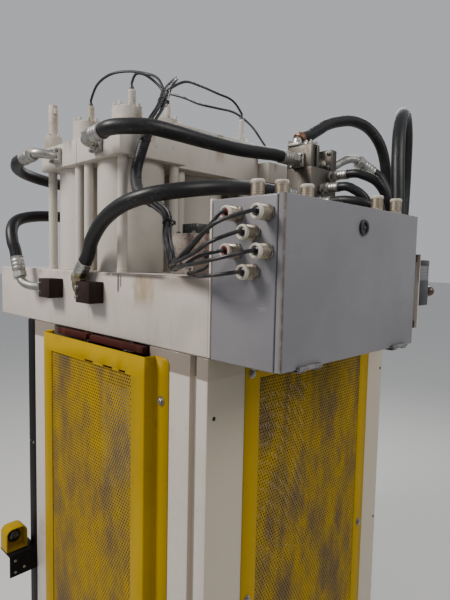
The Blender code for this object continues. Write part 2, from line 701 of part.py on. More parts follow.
def make_box():
    mesh = block_mesh("enclosure_body", (box_back, box_near, box_bottom), (box_front, box_far, box_top))
    body = place("enclosure_body", mesh, "grey_paint")
    inside_low = (box_back + BOX_WALL, box_near + BOX_WALL, box_bottom + BOX_WALL)
    inside_high = (box_front - BOX_WALL, box_far - BOX_WALL, box_top - BOX_WALL)
    cut(body, block_mesh("inside", inside_low, inside_high))
    rim_low = (box_front - BOX_WALL - OVERRUN, box_near + BOX_LIP, box_bottom + BOX_LIP)
    rim_high = (box_front + OVERRUN, box_far - BOX_LIP, box_top - BOX_LIP)
    cut(body, block_mesh("mouth", rim_low, rim_high))
    for name in GLAND_SHARES:
        gland = disc_stack("gland_" + name, [(GLAND_RADIUS, GLAND_LENGTH + BOX_WALL / 2)], GLAND_SIDES,
                           -BOX_WALL / 2)
        join(body, moved(gland, Matrix.Translation(gland_place(name)) @ turn_to((0, -1, 0))))
    for name in TOP_GLAND_SHARES:
        gland = disc_stack("top_gland_" + name, [(GLAND_RADIUS, TOP_GLAND_HEIGHT + BOX_WALL / 2)],
                           GLAND_SIDES, -BOX_WALL / 2)
        join(body, moved(gland, Matrix.Translation(top_gland_place(name))))
    for number, centre in enumerate((box_near + HINGE_INSET, box_far - HINGE_INSET)):
        for part, offset in (("a", -KNUCKLE_LENGTH), ("b", KNUCKLE_LENGTH)):
            start = centre + offset - KNUCKLE_LENGTH / 2 + RUNNING_GAP
            end = centre + offset + KNUCKLE_LENGTH / 2 - RUNNING_GAP
            leaf_low = (box_front - OVERRUN, start + LEAF_INSET, box_bottom - LEAF_DROP)
            leaf_high = (hinge_x + LEAF_LAP, end - LEAF_INSET, box_bottom + LEAF_LAP / 2)
            join(body, block_mesh("leaf" + str(number) + part, leaf_low, leaf_high))
            barrel = disc_stack("knuckle" + str(number) + part, [(KNUCKLE_RADIUS, end - start)], HINGE_SIDES)
            join(body, moved(barrel, Matrix.Translation((hinge_x, start, hinge_z)) @ turn_to((0, 1, 0))))
            bore_start = Matrix.Translation((hinge_x, start - OVERRUN, hinge_z))
            bore_steps = [(KNUCKLE_BORE, end - start + 2 * OVERRUN)]
            bore = disc_stack("bore" + str(number) + part, bore_steps, HINGE_SIDES)
            cut(body, moved(bore, bore_start @ turn_to((0, 1, 0))))


def make_door():
    """The door's own frame has its origin on the hinge's axis."""
    empty = bpy.data.objects.new("door_axis", None)
    empty.location = (hinge_x, 0, hinge_z)
    bpy.context.scene.collection.objects.link(empty)
    back = box_front + DOOR_GAP - hinge_x
    face = back + DOOR_THICKNESS
    bottom = box_bottom - hinge_z + BOX_WALL
    top = box_top - hinge_z
    mesh = block_mesh("enclosure_door", (back, box_near, bottom), (face, box_far, top))
    door = place("enclosure_door", mesh, "grey_paint", parent=empty)
    cut(door, block_mesh("pan", (back - OVERRUN, box_near + DOOR_SHEET, bottom + DOOR_SHEET),
                         (face - DOOR_SHEET, box_far - DOOR_SHEET, top - DOOR_SHEET)))
    hole_steps = [(LATCH_SHAFT_RADIUS + RUNNING_GAP, DOOR_THICKNESS + 2 * OVERRUN)]
    hole = disc_stack("latch_hole", hole_steps, 16, -OVERRUN)
    cut(door, moved(hole, Matrix.Translation((back, latch_y, latch_z - hinge_z)) @ turn_to((1, 0, 0))))
    for number, centre in enumerate((box_near + HINGE_INSET, box_far - HINGE_INSET)):
        start = centre - KNUCKLE_LENGTH / 2
        end = centre + KNUCKLE_LENGTH / 2
        web = block_mesh("web" + str(number), (face - DOOR_SHEET / 2, start + LEAF_INSET, 0),
                         (0, end - LEAF_INSET, KNUCKLE_BORE))
        join(door, web)
        barrel = disc_stack("knuckle" + str(number), [(KNUCKLE_RADIUS, KNUCKLE_LENGTH)], HINGE_SIDES)
        join(door, moved(barrel, Matrix.Translation((0, start, 0)) @ turn_to((0, 1, 0))))
        pin = disc_stack("pin" + str(number), [(PIN_RADIUS, 3 * KNUCKLE_LENGTH)], HINGE_SIDES)
        join(door, moved(pin, Matrix.Translation((0, start - KNUCKLE_LENGTH, 0)) @ turn_to((0, 1, 0))))
    return empty


def make_latch(door_axis):
    """A quarter-turn latch: its face stands on the door and its cam lies behind it."""
    axis = bpy.data.objects.new("latch_axis", None)
    axis.location = (0, latch_y, latch_z - hinge_z)
    axis.parent = door_axis
    bpy.context.scene.collection.objects.link(axis)
    face = box_front + DOOR_GAP + DOOR_THICKNESS - hinge_x
    cam_x = box_front - BOX_WALL - LATCH_CAM_THICKNESS - GAP - RUNNING_GAP - hinge_x
    steps = [(LATCH_SHAFT_RADIUS, face + GAP - cam_x), (LATCH_RADIUS, LATCH_PROUD)]
    body = disc_stack("door_latch", steps, 20, cam_x)
    latch = place("door_latch", moved(body, turn_to((1, 0, 0))), "black_plastic", parent=axis)
    low = (cam_x, -LATCH_SHAFT_RADIUS, -LATCH_CAM_WIDTH / 2)
    high = (cam_x + LATCH_CAM_THICKNESS, LATCH_CAM_LENGTH, LATCH_CAM_WIDTH / 2)
    join(latch, block_mesh("cam", low, high))
    slot_low = (face + LATCH_PROUD - LATCH_CAM_THICKNESS, -LATCH_RADIUS / 2, -LATCH_CAM_THICKNESS / 2)
    slot_high = (face + LATCH_PROUD + OVERRUN, LATCH_RADIUS / 2, LATCH_CAM_THICKNESS / 2)
    cut(latch, block_mesh("slot", slot_low, slot_high))


# Side switch: a housing on a stood-off strip, with a lever that ends in a ball.
SWITCH_INSET = 0.0223         # of the switch's middle from the box's open side
SWITCH_AXIS_HEIGHT = 0.156    # above the box's bottom
STRIP_WIDTH = 0.040
STRIP_THICKNESS = 0.006
STRIP_BELOW_AXIS = 0.116
STRIP_LENGTH = 0.240
STAND_OFF_LENGTH = 0.086
STAND_OFF_SIZE = 0.024
HOUSING_WIDTH = 0.036
HOUSING_DEPTH = 0.075
HOUSING_BELOW_AXIS = 0.044
HOUSING_HEIGHT = 0.150
LEVER_RADIUS = 0.005
LEVER_REACH = 0.066
BALL_RADIUS = 0.017
HUB_RADIUS = 0.014
LEVER_SLOT_WIDTH = 0.016
LEVER_SLOT_HEIGHT = 0.064
switch_x = box_front - SWITCH_INSET
switch_axis_z = box_bottom + SWITCH_AXIS_HEIGHT
strip_bottom = switch_axis_z - STRIP_BELOW_AXIS
strip_top = strip_bottom + STRIP_LENGTH
housing_bottom = switch_axis_z - HOUSING_BELOW_AXIS
housing_top = housing_bottom + HOUSING_HEIGHT
strip_y = box_far + GAP + STAND_OFF_LENGTH
lever_axis_y = strip_y + STRIP_THICKNESS + HOUSING_DEPTH - HUB_RADIUS


def make_side_switch():
    low = (switch_x - STRIP_WIDTH / 2, strip_y, strip_bottom)
    high = (switch_x + STRIP_WIDTH / 2, strip_y + STRIP_THICKNESS, strip_top)
    body = place("switch_body", block_mesh("switch_body", low, high), "black_plastic")
    half = STAND_OFF_SIZE / 2
    for end, z in (("low", strip_bottom + half), ("high", strip_top - half)):
        join(body, block_mesh("stand_off_" + end, (switch_x - half, box_far + GAP, z - half),
                              (switch_x + half, strip_y + STRIP_THICKNESS / 2, z + half)))
    wide = HOUSING_WIDTH / 2
    outer_y = strip_y + STRIP_THICKNESS + HOUSING_DEPTH
    join(body, block_mesh("housing", (switch_x - wide, strip_y + STRIP_THICKNESS / 2, housing_bottom),
                          (switch_x + wide, outer_y, housing_top)))
    slot = LEVER_SLOT_WIDTH / 2
    tall = LEVER_SLOT_HEIGHT / 2
    slot_low = (switch_x - slot, lever_axis_y - HUB_RADIUS - OVERRUN, switch_axis_z - tall)
    slot_high = (switch_x + slot, outer_y + OVERRUN, switch_axis_z + tall)
    cut(body, block_mesh("lever_slot", slot_low, slot_high))
    axis = bpy.data.objects.new("switch_axis", None)
    axis.location = (switch_x, lever_axis_y, switch_axis_z)
    bpy.context.scene.collection.objects.link(axis)
    width = LEVER_SLOT_WIDTH - 2 * GAP
    hub = moved(disc_stack("switch_lever", [(HUB_RADIUS, width)], 16, -width / 2), turn_to((1, 0, 0)))
    lever = place("switch_lever", hub, "brown_knob", parent=axis)
    arm = disc_stack("arm", [(LEVER_RADIUS, LEVER_REACH)], 12)
    join(lever, moved(arm, turn_to((0, 1, 0))))
    work = bmesh.new()
    bmesh.ops.create_uvsphere(work, u_segments=12, v_segments=8, radius=BALL_RADIUS)
    ball = smooth(to_mesh("ball", work), math.radians(60))
    join(lever, moved(ball, Matrix.Translation((0, LEVER_REACH, 0))))


# Operator station: a black bar beside the front left column, with a bracket plate and a palm
# button in a rounded shroud on the bracket's shelf.
POST_WIDTH = 0.064
POST_DEPTH = 0.05
PLATE_THICKNESS = 0.006
PLATE_REACH = 0.108
PLATE_BOTTOM = 0.730
PLATE_TOP = 0.817
SHELF_REACH = 0.097           # from the plate's face back under the shroud
SHROUD_SETBACK = 0.034        # from the plate's face
SHROUD_WIDTH = 0.084
SHROUD_DEPTH = 0.060
SHROUD_HEIGHT = 0.092
SHROUD_WALL = 0.004
SHROUD_BACK_WALL = 0.016
SHROUD_CORNER_RADIUS = 0.026
SHROUD_CORNER_STEPS = 5
BUTTON_RADIUS = 0.026
BUTTON_THICKNESS = 0.018
BUTTON_STEM_RADIUS = 0.010
BUTTON_STEM_LENGTH = 0.0117
BUTTON_TRAVEL = 0.006
post_inside = LEFT_COLUMN_OUTSIDE - GAP
post_outside = post_inside - POST_WIDTH
plate_near = front_face - PLATE_REACH
shroud_bottom = PLATE_TOP + GAP
shroud_top = shroud_bottom + SHROUD_HEIGHT
shroud_near = plate_near + GAP
shroud_far = shroud_near + SHROUD_WIDTH
shroud_front = post_inside - SHROUD_SETBACK
shroud_back = shroud_front - SHROUD_DEPTH
button_y = (shroud_near + shroud_far) / 2
button_z = (shroud_bottom + shroud_top) / 2


def shroud_outline(wall):
    """The shroud's end outline in Y and Z, square below and rounded above, drawn in by a wall."""
    low, high = shroud_near + wall, shroud_far - wall
    bottom, top = shroud_bottom + wall, shroud_top - wall
    radius = SHROUD_CORNER_RADIUS - wall
    outline = [(low, bottom), (high, bottom)]
    for centre_y, quarter in ((high - radius, 0), (low + radius, 1)):
        for step in range(SHROUD_CORNER_STEPS + 1):
            angle = math.radians(90) * (quarter + step / SHROUD_CORNER_STEPS)
            outline.append((centre_y + radius * math.cos(angle), top - radius + radius * math.sin(angle)))
    return outline


def make_operator_station():
    low = (post_outside, front_face, BASE_THICKNESS + GAP)
    high = (post_inside, front_face + POST_DEPTH, CROWN_UNDERSIDE - GAP)
    post = place("operator_post", block_mesh("operator_post", low, high), "black_paint")
    inset = PLATE_THICKNESS / 2
    plate_low = (post_inside - PLATE_THICKNESS - GAP, plate_near, PLATE_BOTTOM)
    plate_high = (post_inside - GAP, front_face + inset, PLATE_TOP)
    join(post, block_mesh("plate", plate_low, plate_high))
    shelf_low = (post_inside - SHELF_REACH, plate_near, PLATE_TOP - PLATE_THICKNESS)
    shelf_high = (post_inside - GAP, front_face + inset, PLATE_TOP)
    join(post, block_mesh("shelf", shelf_low, shelf_high))
    mesh = prism_mesh("switch_shroud", shroud_outline(0), shroud_back, shroud_front, "X")
    shroud = place("switch_shroud", mesh, "yellow_paint")
    face = shroud_back + SHROUD_BACK_WALL
    cut(shroud, prism_mesh("hollow", shroud_outline(SHROUD_WALL), face, shroud_front + OVERRUN, "X"))
    socket = disc_stack("socket", [(BUTTON_STEM_RADIUS + RUNNING_GAP, SHROUD_BACK_WALL)], 16)
    cut(shroud, moved(socket, Matrix.Translation((shroud_back + SHROUD_WALL, button_y, button_z))
                      @ turn_to((1, 0, 0))))
    axis = bpy.data.objects.new("button_axis", None)
    axis.location = (face + BUTTON_TRAVEL + GAP, button_y, button_z)
    bpy.context.scene.collection.objects.link(axis)
    steps = [(BUTTON_STEM_RADIUS, BUTTON_STEM_LENGTH), (BUTTON_RADIUS, BUTTON_THICKNESS)]
    button = disc_stack("palm_button", steps, 20, -BUTTON_STEM_LENGTH)
    place("palm_button", moved(button, turn_to((1, 0, 0))), "black_plastic", parent=axis)


# Hose ends: a flange on the port, a neck that bends, a nut, and the ferrule that grips the hose.
FLANGE_RADIUS = 0.0258
FLANGE_THICKNESS = 0.014
NECK_RADIUS = 0.016
NECK_LENGTH = 0.012           # of a straight end
NUT_RADIUS = 0.0262
NUT_LENGTH = 0.024
FERRULE_RADIUS = 0.0245
FERRULE_LENGTH = 0.057
END_SEAT = 0.002              # how far a fused end goes into its carrier
BEND_STEP = 0.016
SMALL_SCALE = 0.74            # of the small hoses' fittings
END_SIDES = 8


def bent_end(start, out, run, towards, pull, scale=1.0):
    """A path from a port to the ferrule's mouth: straight, one smooth bend, then straight."""
    start, out, run, towards = (Vector(v) for v in (start, out, run, towards))
    end = start + run
    out = out.normalized()
    towards = towards.normalized()
    lift = start + out * FLANGE_THICKNESS * scale
    landing = end - towards * (NUT_LENGTH + FERRULE_LENGTH) * scale
    spots = [start]
    corners = (lift, lift + out * pull, landing - towards * pull, landing)
    bends = 12
    for i in range(bends + 1):
        t = i / bends
        a, b, c, d = corners
        spots.append((1 - t) ** 3 * a + 3 * (1 - t) ** 2 * t * b + 3 * (1 - t) * t ** 2 * c + t ** 3 * d)
    spots.append(end)
    return spots


def straight_end(start, out, scale=1.0):
    start, out = Vector(start), Vector(out).normalized()
    spots = [start]
    for length in (FLANGE_THICKNESS, NECK_LENGTH, NUT_LENGTH + FERRULE_LENGTH):
        spots.append(spots[-1] + out * length * scale)
    return spots


def hose_end_mesh(name, route, scale):
    """The whole fitting as one turned and bent piece along its route."""
    whole = sum((b - a).length for a, b in zip(route, route[1:]))
    seat = END_SEAT
    flange = seat + FLANGE_THICKNESS * scale
    nut = whole - (FERRULE_LENGTH + NUT_LENGTH) * scale
    grip = nut + NUT_LENGTH * scale
    neck = NECK_RADIUS * scale
    stations = [(0, FLANGE_RADIUS * scale), (flange, FLANGE_RADIUS * scale), (flange, neck)]
    bend_steps = max(1, round((nut - flange) / BEND_STEP))
    for i in range(1, bend_steps):
        stations.append((flange + (nut - flange) * i / bend_steps, neck))
    stations += [(nut, neck), (nut, NUT_RADIUS * scale), (grip, NUT_RADIUS * scale),
                 (grip, FERRULE_RADIUS * scale), (whole, FERRULE_RADIUS * scale)]
    return swept_mesh(name, route, stations, END_SIDES)


# Port blocks on the crown's front face.
PORT_BLOCK_WIDTH = 0.085
PORT_BLOCK_DEPTH = 0.052
PORT_BLOCK_HEIGHT = 0.068
PORT_BLOCK_DROP = 0.032       # below the crown's top
LEFT_PORT_BLOCK_X = -0.181
RIGHT_PORT_BLOCK_X = 0.091
port_block_top = crown_top - PORT_BLOCK_DROP
port_block_bottom = port_block_top - PORT_BLOCK_HEIGHT
port_block_y = front_face - GAP - PORT_BLOCK_DEPTH / 2
port_block_z = (port_block_bottom + port_block_top) / 2

# Valve manifold on the crown behind the control box: a block with a flanged valve along its top.
MANIFOLD_CLEARANCE = 0.131    # from the corner caps
MANIFOLD_WIDTH = 0.110
MANIFOLD_NEAR = 0.160
MANIFOLD_DEPTH = 0.165
MANIFOLD_HEIGHT = 0.388
VALVE_HEIGHT = 0.079          # of its flanges above the block
VALVE_FLANGE_NEAR = 0.050     # thickness along Y
VALVE_FLANGE_FAR = 0.036
VALVE_WAIST_RADIUS = 0.034
VALVE_SIDES = 16
VALVE_AXIS_DROP = 0.056       # below the flanges' tops
VALVE_PLUG_SIZE = 0.028
VALVE_PLUG_REACH = 0.043
VALVE_PLUG_Y = 0.190
VALVE_PLUG_DROP = 0.023
LEFT_MANIFOLD_CLEARANCE = 0.101 # from the corner caps
LEFT_MANIFOLD_WIDTH = 0.110
LEFT_MANIFOLD_NEAR = 0.165
LEFT_MANIFOLD_HEIGHT = 0.392
manifold_low_x = corner_cap_size + MANIFOLD_CLEARANCE
manifold_high_x = manifold_low_x + MANIFOLD_WIDTH
manifold_x = (manifold_low_x + manifold_high_x) / 2
manifold_far = MANIFOLD_NEAR + MANIFOLD_DEPTH
manifold_block_top = crown_top + MANIFOLD_HEIGHT
valve_top = manifold_block_top + VALVE_HEIGHT
valve_axis_z = valve_top - VALVE_AXIS_DROP
valve_plug_x = manifold_low_x - VALVE_PLUG_REACH
valve_plug_z = valve_top - VALVE_PLUG_DROP
left_manifold_low_x = -corner_cap_size - LEFT_MANIFOLD_CLEARANCE - LEFT_MANIFOLD_WIDTH
left_manifold_x = left_manifold_low_x + LEFT_MANIFOLD_WIDTH / 2
left_manifold_top = crown_top + LEFT_MANIFOLD_HEIGHT

# Hose bracket round the crown's rear right corner, where the supply hoses land.
BRACKET_DROP = 0.061          # of its top below the crown's
BRACKET_THICKNESS = 0.012
BRACKET_SIDE_REACH = 0.150
BRACKET_REAR_REACH = 0.195
BRACKET_SIDE_GAP = 0.0247     # from the control box
BRACKET_REAR_LENGTH = 0.194   # along the crown's rear face
BRACKET_LIP = 0.05
COUPLING_HEIGHT = 0.085
bracket_top = crown_top - BRACKET_DROP
bracket_bottom = bracket_top - BRACKET_THICKNESS
bracket_inner_x = right_face + GAP
bracket_inner_y = -front_face + GAP
bracket_near = box_far + BRACKET_SIDE_GAP
bracket_left = right_face - BRACKET_REAR_LENGTH
coupling_top = bracket_top + COUPLING_HEIGHT

# Share of the side shelf's reach, and of its length from the control box
SIDE_COUPLING_SHARES = {
    "loop_near": (0.804, 0.199),
    "drain_upper": (0.318, 0.704),
    "drain_middle": (0.251, 0.368),
    "drain_lower": (0.638, 0.487),
}
# Share of the rear shelf's length from its left end, and of its reach
REAR_COUPLING_SHARES = {
    "loop_far": (0.773, 0.809),
    "supply": (0.320, 0.809),
    "pilot": (0.593, 0.388),
}
SMALL_COUPLINGS = ("drain_upper", "drain_middle", "drain_lower")


def coupling_place(name):
    if name in SIDE_COUPLING_SHARES:
        reach_share, length_share = SIDE_COUPLING_SHARES[name]
        return Vector((bracket_inner_x + reach_share * BRACKET_SIDE_REACH,
                       bracket_near + length_share * (bracket_inner_y - bracket_near), coupling_top))
    length_share, reach_share = REAR_COUPLING_SHARES[name]
    return Vector((bracket_left + length_share * (bracket_inner_x - bracket_left),
                   bracket_inner_y + reach_share * BRACKET_REAR_REACH, coupling_top))


# Bent hose ends: the run from the port to the ferrule's mouth, how far the bend is pulled along
# both ways, and the heading at the mouth.
BENT_END_RUNS = {
    "cap_front_right": (0.142, -0.069, 0.005),
    "cap_front_left": (-0.121, -0.069, -0.003),
    "port_left": (-0.161, -0.038, 0.108),
    "port_right": (0.021, -0.002, 0.098),
    "manifold_back": (0.080, 0.223, 0.006),
    "manifold_top": (0.007, 0.140, 0.095),
}
BENT_END_PULLS = {
    "cap_front_right": 0.030,
    "cap_front_left": 0.025,
    "port_left": 0.039,
    "port_right": 0.0187,
    "manifold_back": 0.055,
    "manifold_top": 0.025,
}
BENT_END_HEADING_SHARES = {
    "cap_front_right": (1, 0, 0.06),
    "cap_front_left": (-1, 0, -0.08),
    "port_left": (-0.3, -0.04, 0.9),
    "port_right": (0.64, 0, 0.768),
    "manifold_back": (0.36, 0.80, -0.46),
    "manifold_top": (0.03, 0.87, 0.5),
}
RIGHT_CAP_PORT_SHIFT = 0.011   # from the cylinder's axis
LEFT_CAP_PORT_SHIFT = 0.003
VALVE_TOP_PORT_INSET = 0.020   # from the near flange's face
VALVE_TOP_PORT_SHIFT = 0.025   # to the left of the valve's axis
cap_port_y = front_face - GAP
cap_port_z = cap_underside + CORNER_CAP_THICKNESS / 2
valve_port = (manifold_x - VALVE_TOP_PORT_SHIFT, MANIFOLD_NEAR + VALVE_TOP_PORT_INSET, valve_top)
# A bent end's port, and the way out of it
bent_end_ports = {
    "cap_front_right": ((corner_offset_x + RIGHT_CAP_PORT_SHIFT, cap_port_y, cap_port_z), (0, -1, 0)),
    "cap_front_left": ((LEFT_CAP_PORT_SHIFT - corner_offset_x, cap_port_y, cap_port_z), (0, -1, 0)),
    "port_left": ((LEFT_PORT_BLOCK_X, port_block_y, port_block_z), (-1, 0, 0)),
    "port_right": ((RIGHT_PORT_BLOCK_X, port_block_y, port_block_z), (-1, 0, 0)),
    "manifold_back": ((manifold_x, manifold_far, valve_axis_z), (0, 1, 0)),
    "manifold_top": (valve_port, (0, 0, 1)),
}
# Straight ends: share of the carrier's width and depth from its low corner, and of its height
STRAIGHT_END_SHARES = {
    "manifold_front": (0.5, 0, 0.879),
    "manifold_low_front": (0.682, 0, 0.604),
    "manifold_side_upper": (1, 0.709, 0.782),
    "manifold_side_middle": (1, 0.376, 0.670),
    "manifold_side_lower": (1, 0.109, 0.554),
    "left_manifold_upper": (0.5, 0, 0.859),
    "left_manifold_lower": (0.5, 0, 0.528),
}
SMALL_ENDS = ("manifold_side_upper", "manifold_side_middle", "manifold_side_lower")


def straight_port(name):
    """A straight end's port, and the way out of it."""
    width_share, depth_share, height_share = STRAIGHT_END_SHARES[name]
    if name.startswith("left"):
        low = Vector((left_manifold_low_x, LEFT_MANIFOLD_NEAR, crown_top))
        size = Vector((LEFT_MANIFOLD_WIDTH, LEFT_MANIFOLD_WIDTH, LEFT_MANIFOLD_HEIGHT))
    else:
        low = Vector((manifold_low_x, MANIFOLD_NEAR, crown_top))
        size = Vector((MANIFOLD_WIDTH, MANIFOLD_DEPTH, MANIFOLD_HEIGHT + VALVE_HEIGHT))
    share = Vector((width_share, depth_share, height_share))
    out = (1, 0, 0) if name in SMALL_ENDS else (0, -1, 0)
    return low + size * share, out


def end_scale(name):
    return SMALL_SCALE if name in SMALL_ENDS + SMALL_COUPLINGS else 1.0


hose_end_routes = {name: bent_end(port, out, BENT_END_RUNS[name], BENT_END_HEADING_SHARES[name],
                                  BENT_END_PULLS[name]) for name, (port, out) in bent_end_ports.items()}
for end_name in STRAIGHT_END_SHARES:
    hose_end_routes[end_name] = straight_end(*straight_port(end_name), end_scale(end_name))


def add_hose_end(carrier, name):
    scale = end_scale(name)
    route = list(hose_end_routes[name])
    route[0] = route[0] - (route[1] - route[0]).normalized() * END_SEAT
    join(carrier, hose_end_mesh(name, route, scale)).use_self = True


def make_port_block(name, left_x, end_name):
    low = (left_x, front_face - GAP - PORT_BLOCK_DEPTH, port_block_bottom)
    high = (left_x + PORT_BLOCK_WIDTH, front_face - GAP, port_block_top)
    port = place(name, block_mesh(name, low, high), "black_paint")
    add_hose_end(port, end_name)


def make_manifolds():
    low = (manifold_low_x, MANIFOLD_NEAR, crown_top + GAP)
    high = (manifold_high_x, manifold_far, manifold_block_top)
    manifold = place("valve_manifold", block_mesh("valve_manifold", low, high), "bare_steel")
    foot = manifold_block_top - OVERRUN
    for label, near, far in (("near", MANIFOLD_NEAR, MANIFOLD_NEAR + VALVE_FLANGE_NEAR),
                             ("far", manifold_far - VALVE_FLANGE_FAR, manifold_far)):
        join(manifold, block_mesh("valve_flange_" + label, (manifold_low_x, near, foot),
                                  (manifold_high_x, far, valve_top)))
    waist_start = MANIFOLD_NEAR + VALVE_FLANGE_NEAR / 2
    waist_end = manifold_far - VALVE_FLANGE_FAR / 2
    waist = disc_stack("valve_waist", [(VALVE_WAIST_RADIUS, waist_end - waist_start)], VALVE_SIDES)
    waist_place = Matrix.Translation((manifold_x, waist_start, valve_axis_z))
    join(manifold, moved(waist, waist_place @ turn_to((0, 1, 0))))
    half = VALVE_PLUG_SIZE / 2
    join(manifold, block_mesh("valve_plug", (valve_plug_x, VALVE_PLUG_Y - half, valve_plug_z - half),
                              (manifold_low_x + END_SEAT, VALVE_PLUG_Y + half, valve_plug_z + half)))
    for name in hose_end_routes:
        if name.startswith("manifold"):
            add_hose_end(manifold, name)
    far = LEFT_MANIFOLD_NEAR + LEFT_MANIFOLD_WIDTH
    low = (left_manifold_low_x, LEFT_MANIFOLD_NEAR, crown_top + GAP)
    high = (left_manifold_low_x + LEFT_MANIFOLD_WIDTH, far, left_manifold_top)
    left = place("left_manifold", block_mesh("left_manifold", low, high), "bare_steel")
    for name in ("left_manifold_upper", "left_manifold_lower"):
        add_hose_end(left, name)


def make_hose_bracket():
    """An L-shaped shelf on two sides of the crown, with a down-turned lip along its seats."""
    outer_x = bracket_inner_x + BRACKET_SIDE_REACH
    outer_y = bracket_inner_y + BRACKET_REAR_REACH
    outline = [(bracket_inner_x, bracket_near), (outer_x, bracket_near), (outer_x, bracket_inner_y),
               (bracket_inner_x, outer_y), (bracket_left, outer_y), (bracket_left, bracket_inner_y),
               (bracket_inner_x, bracket_inner_y)]
    shelf = prism_mesh("hose_bracket", outline, bracket_bottom, bracket_top)
    bracket = place("hose_bracket", shelf, "bare_steel")
    lip_low = bracket_bottom - BRACKET_LIP
    lip_high = bracket_bottom + BRACKET_THICKNESS / 2
    lip_x = bracket_inner_x + BRACKET_THICKNESS
    lip_y = bracket_inner_y + BRACKET_THICKNESS
    lips = [(bracket_inner_x, bracket_near), (lip_x, bracket_near), (lip_x, lip_y), (bracket_left, lip_y),
            (bracket_left, bracket_inner_y), (bracket_inner_x, bracket_inner_y)]
    join(bracket, prism_mesh("lips", lips, lip_low, lip_high))
    for name in list(SIDE_COUPLING_SHARES) + list(REAR_COUPLING_SHARES):
        spot = coupling_place(name)
        scale = end_scale(name)
        steps = [(NECK_RADIUS * scale, BRACKET_THICKNESS + OVERRUN), (NUT_RADIUS * scale, NUT_LENGTH),
                 (FERRULE_RADIUS * scale, COUPLING_HEIGHT - NUT_LENGTH)]
        coupling = disc_stack("coupling_" + name, steps, END_SIDES, bracket_bottom - OVERRUN)
        join(bracket, moved(coupling, Matrix.Translation((spot.x, spot.y, 0))))


# Junction block: the rusty block beside the front right cylinder.
JUNCTION_INSET = 0.194        # of its right face from the crown's end
JUNCTION_SETBACK = 0.117      # from the front face
JUNCTION_SIZE = 0.098
JUNCTION_HEIGHT = 0.122
junction_high_x = right_face - JUNCTION_INSET
junction_near = front_face + JUNCTION_SETBACK


def make_junction_block():
    low = (junction_high_x - JUNCTION_SIZE, junction_near, crown_top + GAP)
    high = (junction_high_x, junction_near + JUNCTION_SIZE, crown_top + JUNCTION_HEIGHT)
    place("junction_block", block_mesh("junction_block", low, high), "rusty_steel")


# Hoses: each leaves a fitting straight, and lands straight. Its row gives the two fittings and how
# far its run stands off the straight line between them, at even steps along that line.
HOSE_LEAD_SHARE = 0.8         # of the diameter, straight at each end
HOSE_STEP_SHARE = 1.6         # of the diameter, between the curve's points
HOSE_RUNS = {
    "hose_cap_right": ("cap_front_right", [
        (0.045, -0.067, 0.003), (0.072, -0.099, 0.003), (0.070, -0.106, -0.003),
        (0.055, -0.076, -0.008), (0.038, -0.032, -0.009), (0.022, 0.003, -0.003),
    ], "manifold_front"),
    "hose_port_right": ("port_right", [
        (0.022, -0.073, 0.041), (0.058, -0.143, 0.066), (0.114, -0.205, 0.077),
        (0.159, -0.243, 0.072), (0.181, -0.245, 0.060), (0.169, -0.217, 0.048),
        (0.130, -0.159, 0.036), (0.062, -0.071, 0.021),
    ], "manifold_low_front"),
    "hose_port_left": ("port_left", [
        (-0.010, -0.080, 0.032), (-0.028, -0.148, 0.062), (-0.050, -0.192, 0.079),
        (-0.060, -0.208, 0.080), (-0.058, -0.193, 0.070), (-0.046, -0.128, 0.049),
        (-0.020, -0.053, 0.023),
    ], "left_manifold_lower"),
    "hose_cap_left": ("cap_front_left", [
        (-0.041, -0.075, 0.001), (-0.080, -0.126, -0.002), (-0.104, -0.148, -0.005),
        (-0.106, -0.146, -0.008), (-0.092, -0.122, -0.010), (-0.065, -0.077, -0.009),
        (-0.029, -0.033, -0.007),
    ], "left_manifold_upper"),
    "hose_arch": ("manifold_top", [
        (-0.005, 0.056, 0.110), (0.001, 0.111, 0.197), (0.016, 0.154, 0.244),
        (0.030, 0.172, 0.244), (0.032, 0.158, 0.206), (0.023, 0.116, 0.148),
        (0.012, 0.054, 0.076),
    ], "supply"),
    "hose_loop": ("loop_near", [
        (0.015, -0.027, 0.128), (0.023, -0.048, 0.238), (0.024, -0.065, 0.348),
        (0.019, -0.060, 0.453), (0.006, -0.028, 0.533), (-0.011, 0.023, 0.576),
        (-0.027, 0.078, 0.575), (-0.039, 0.117, 0.521), (-0.042, 0.124, 0.428),
        (-0.035, 0.106, 0.313), (-0.018, 0.057, 0.153),
    ], "loop_far"),
    "hose_pilot": ("manifold_back", [
        (0.015, 0.039, 0.039), (0.028, 0.056, 0.052), (0.025, 0.046, 0.046),
        (0.012, 0.020, 0.029),
    ], "pilot"),
    "hose_drain_upper": ("manifold_side_upper", [
        (0.025, -0.016, 0.062), (0.046, -0.010, 0.101), (0.043, 0.008, 0.102),
        (0.025, 0.014, 0.065),
    ], "drain_upper"),
    "hose_drain_middle": ("manifold_side_middle", [
        (0.020, -0.010, 0.051), (0.037, -0.006, 0.075), (0.037, 0.007, 0.062),
        (0.023, 0.010, 0.040),
    ], "drain_middle"),
    "hose_drain_lower": ("manifold_side_lower", [
        (0.027, -0.026, 0.038), (0.053, -0.031, 0.066), (0.063, -0.012, 0.076),
        (0.054, 0.012, 0.055), (0.029, 0.016, 0.029),
    ], "drain_lower"),
}
SMALL_HOSES = ("hose_drain_upper", "hose_drain_middle", "hose_drain_lower")


def along_line(start, stand_offs, end):
    """Points at even steps from start to end, each stood off the straight line."""
    start, end = Vector(start), Vector(end)
    steps = len(stand_offs) + 1
    return [start.lerp(end, (i + 1) / steps) + Vector(off) for i, off in enumerate(stand_offs)]


def hose_stop(name):
    """Where a hose meets a fitting, and the direction out of it."""
    if name in SIDE_COUPLING_SHARES or name in REAR_COUPLING_SHARES:
        return coupling_place(name), Vector((0, 0, 1))
    route = hose_end_routes[name]
    return route[-1], (route[-1] - route[-2]).normalized()


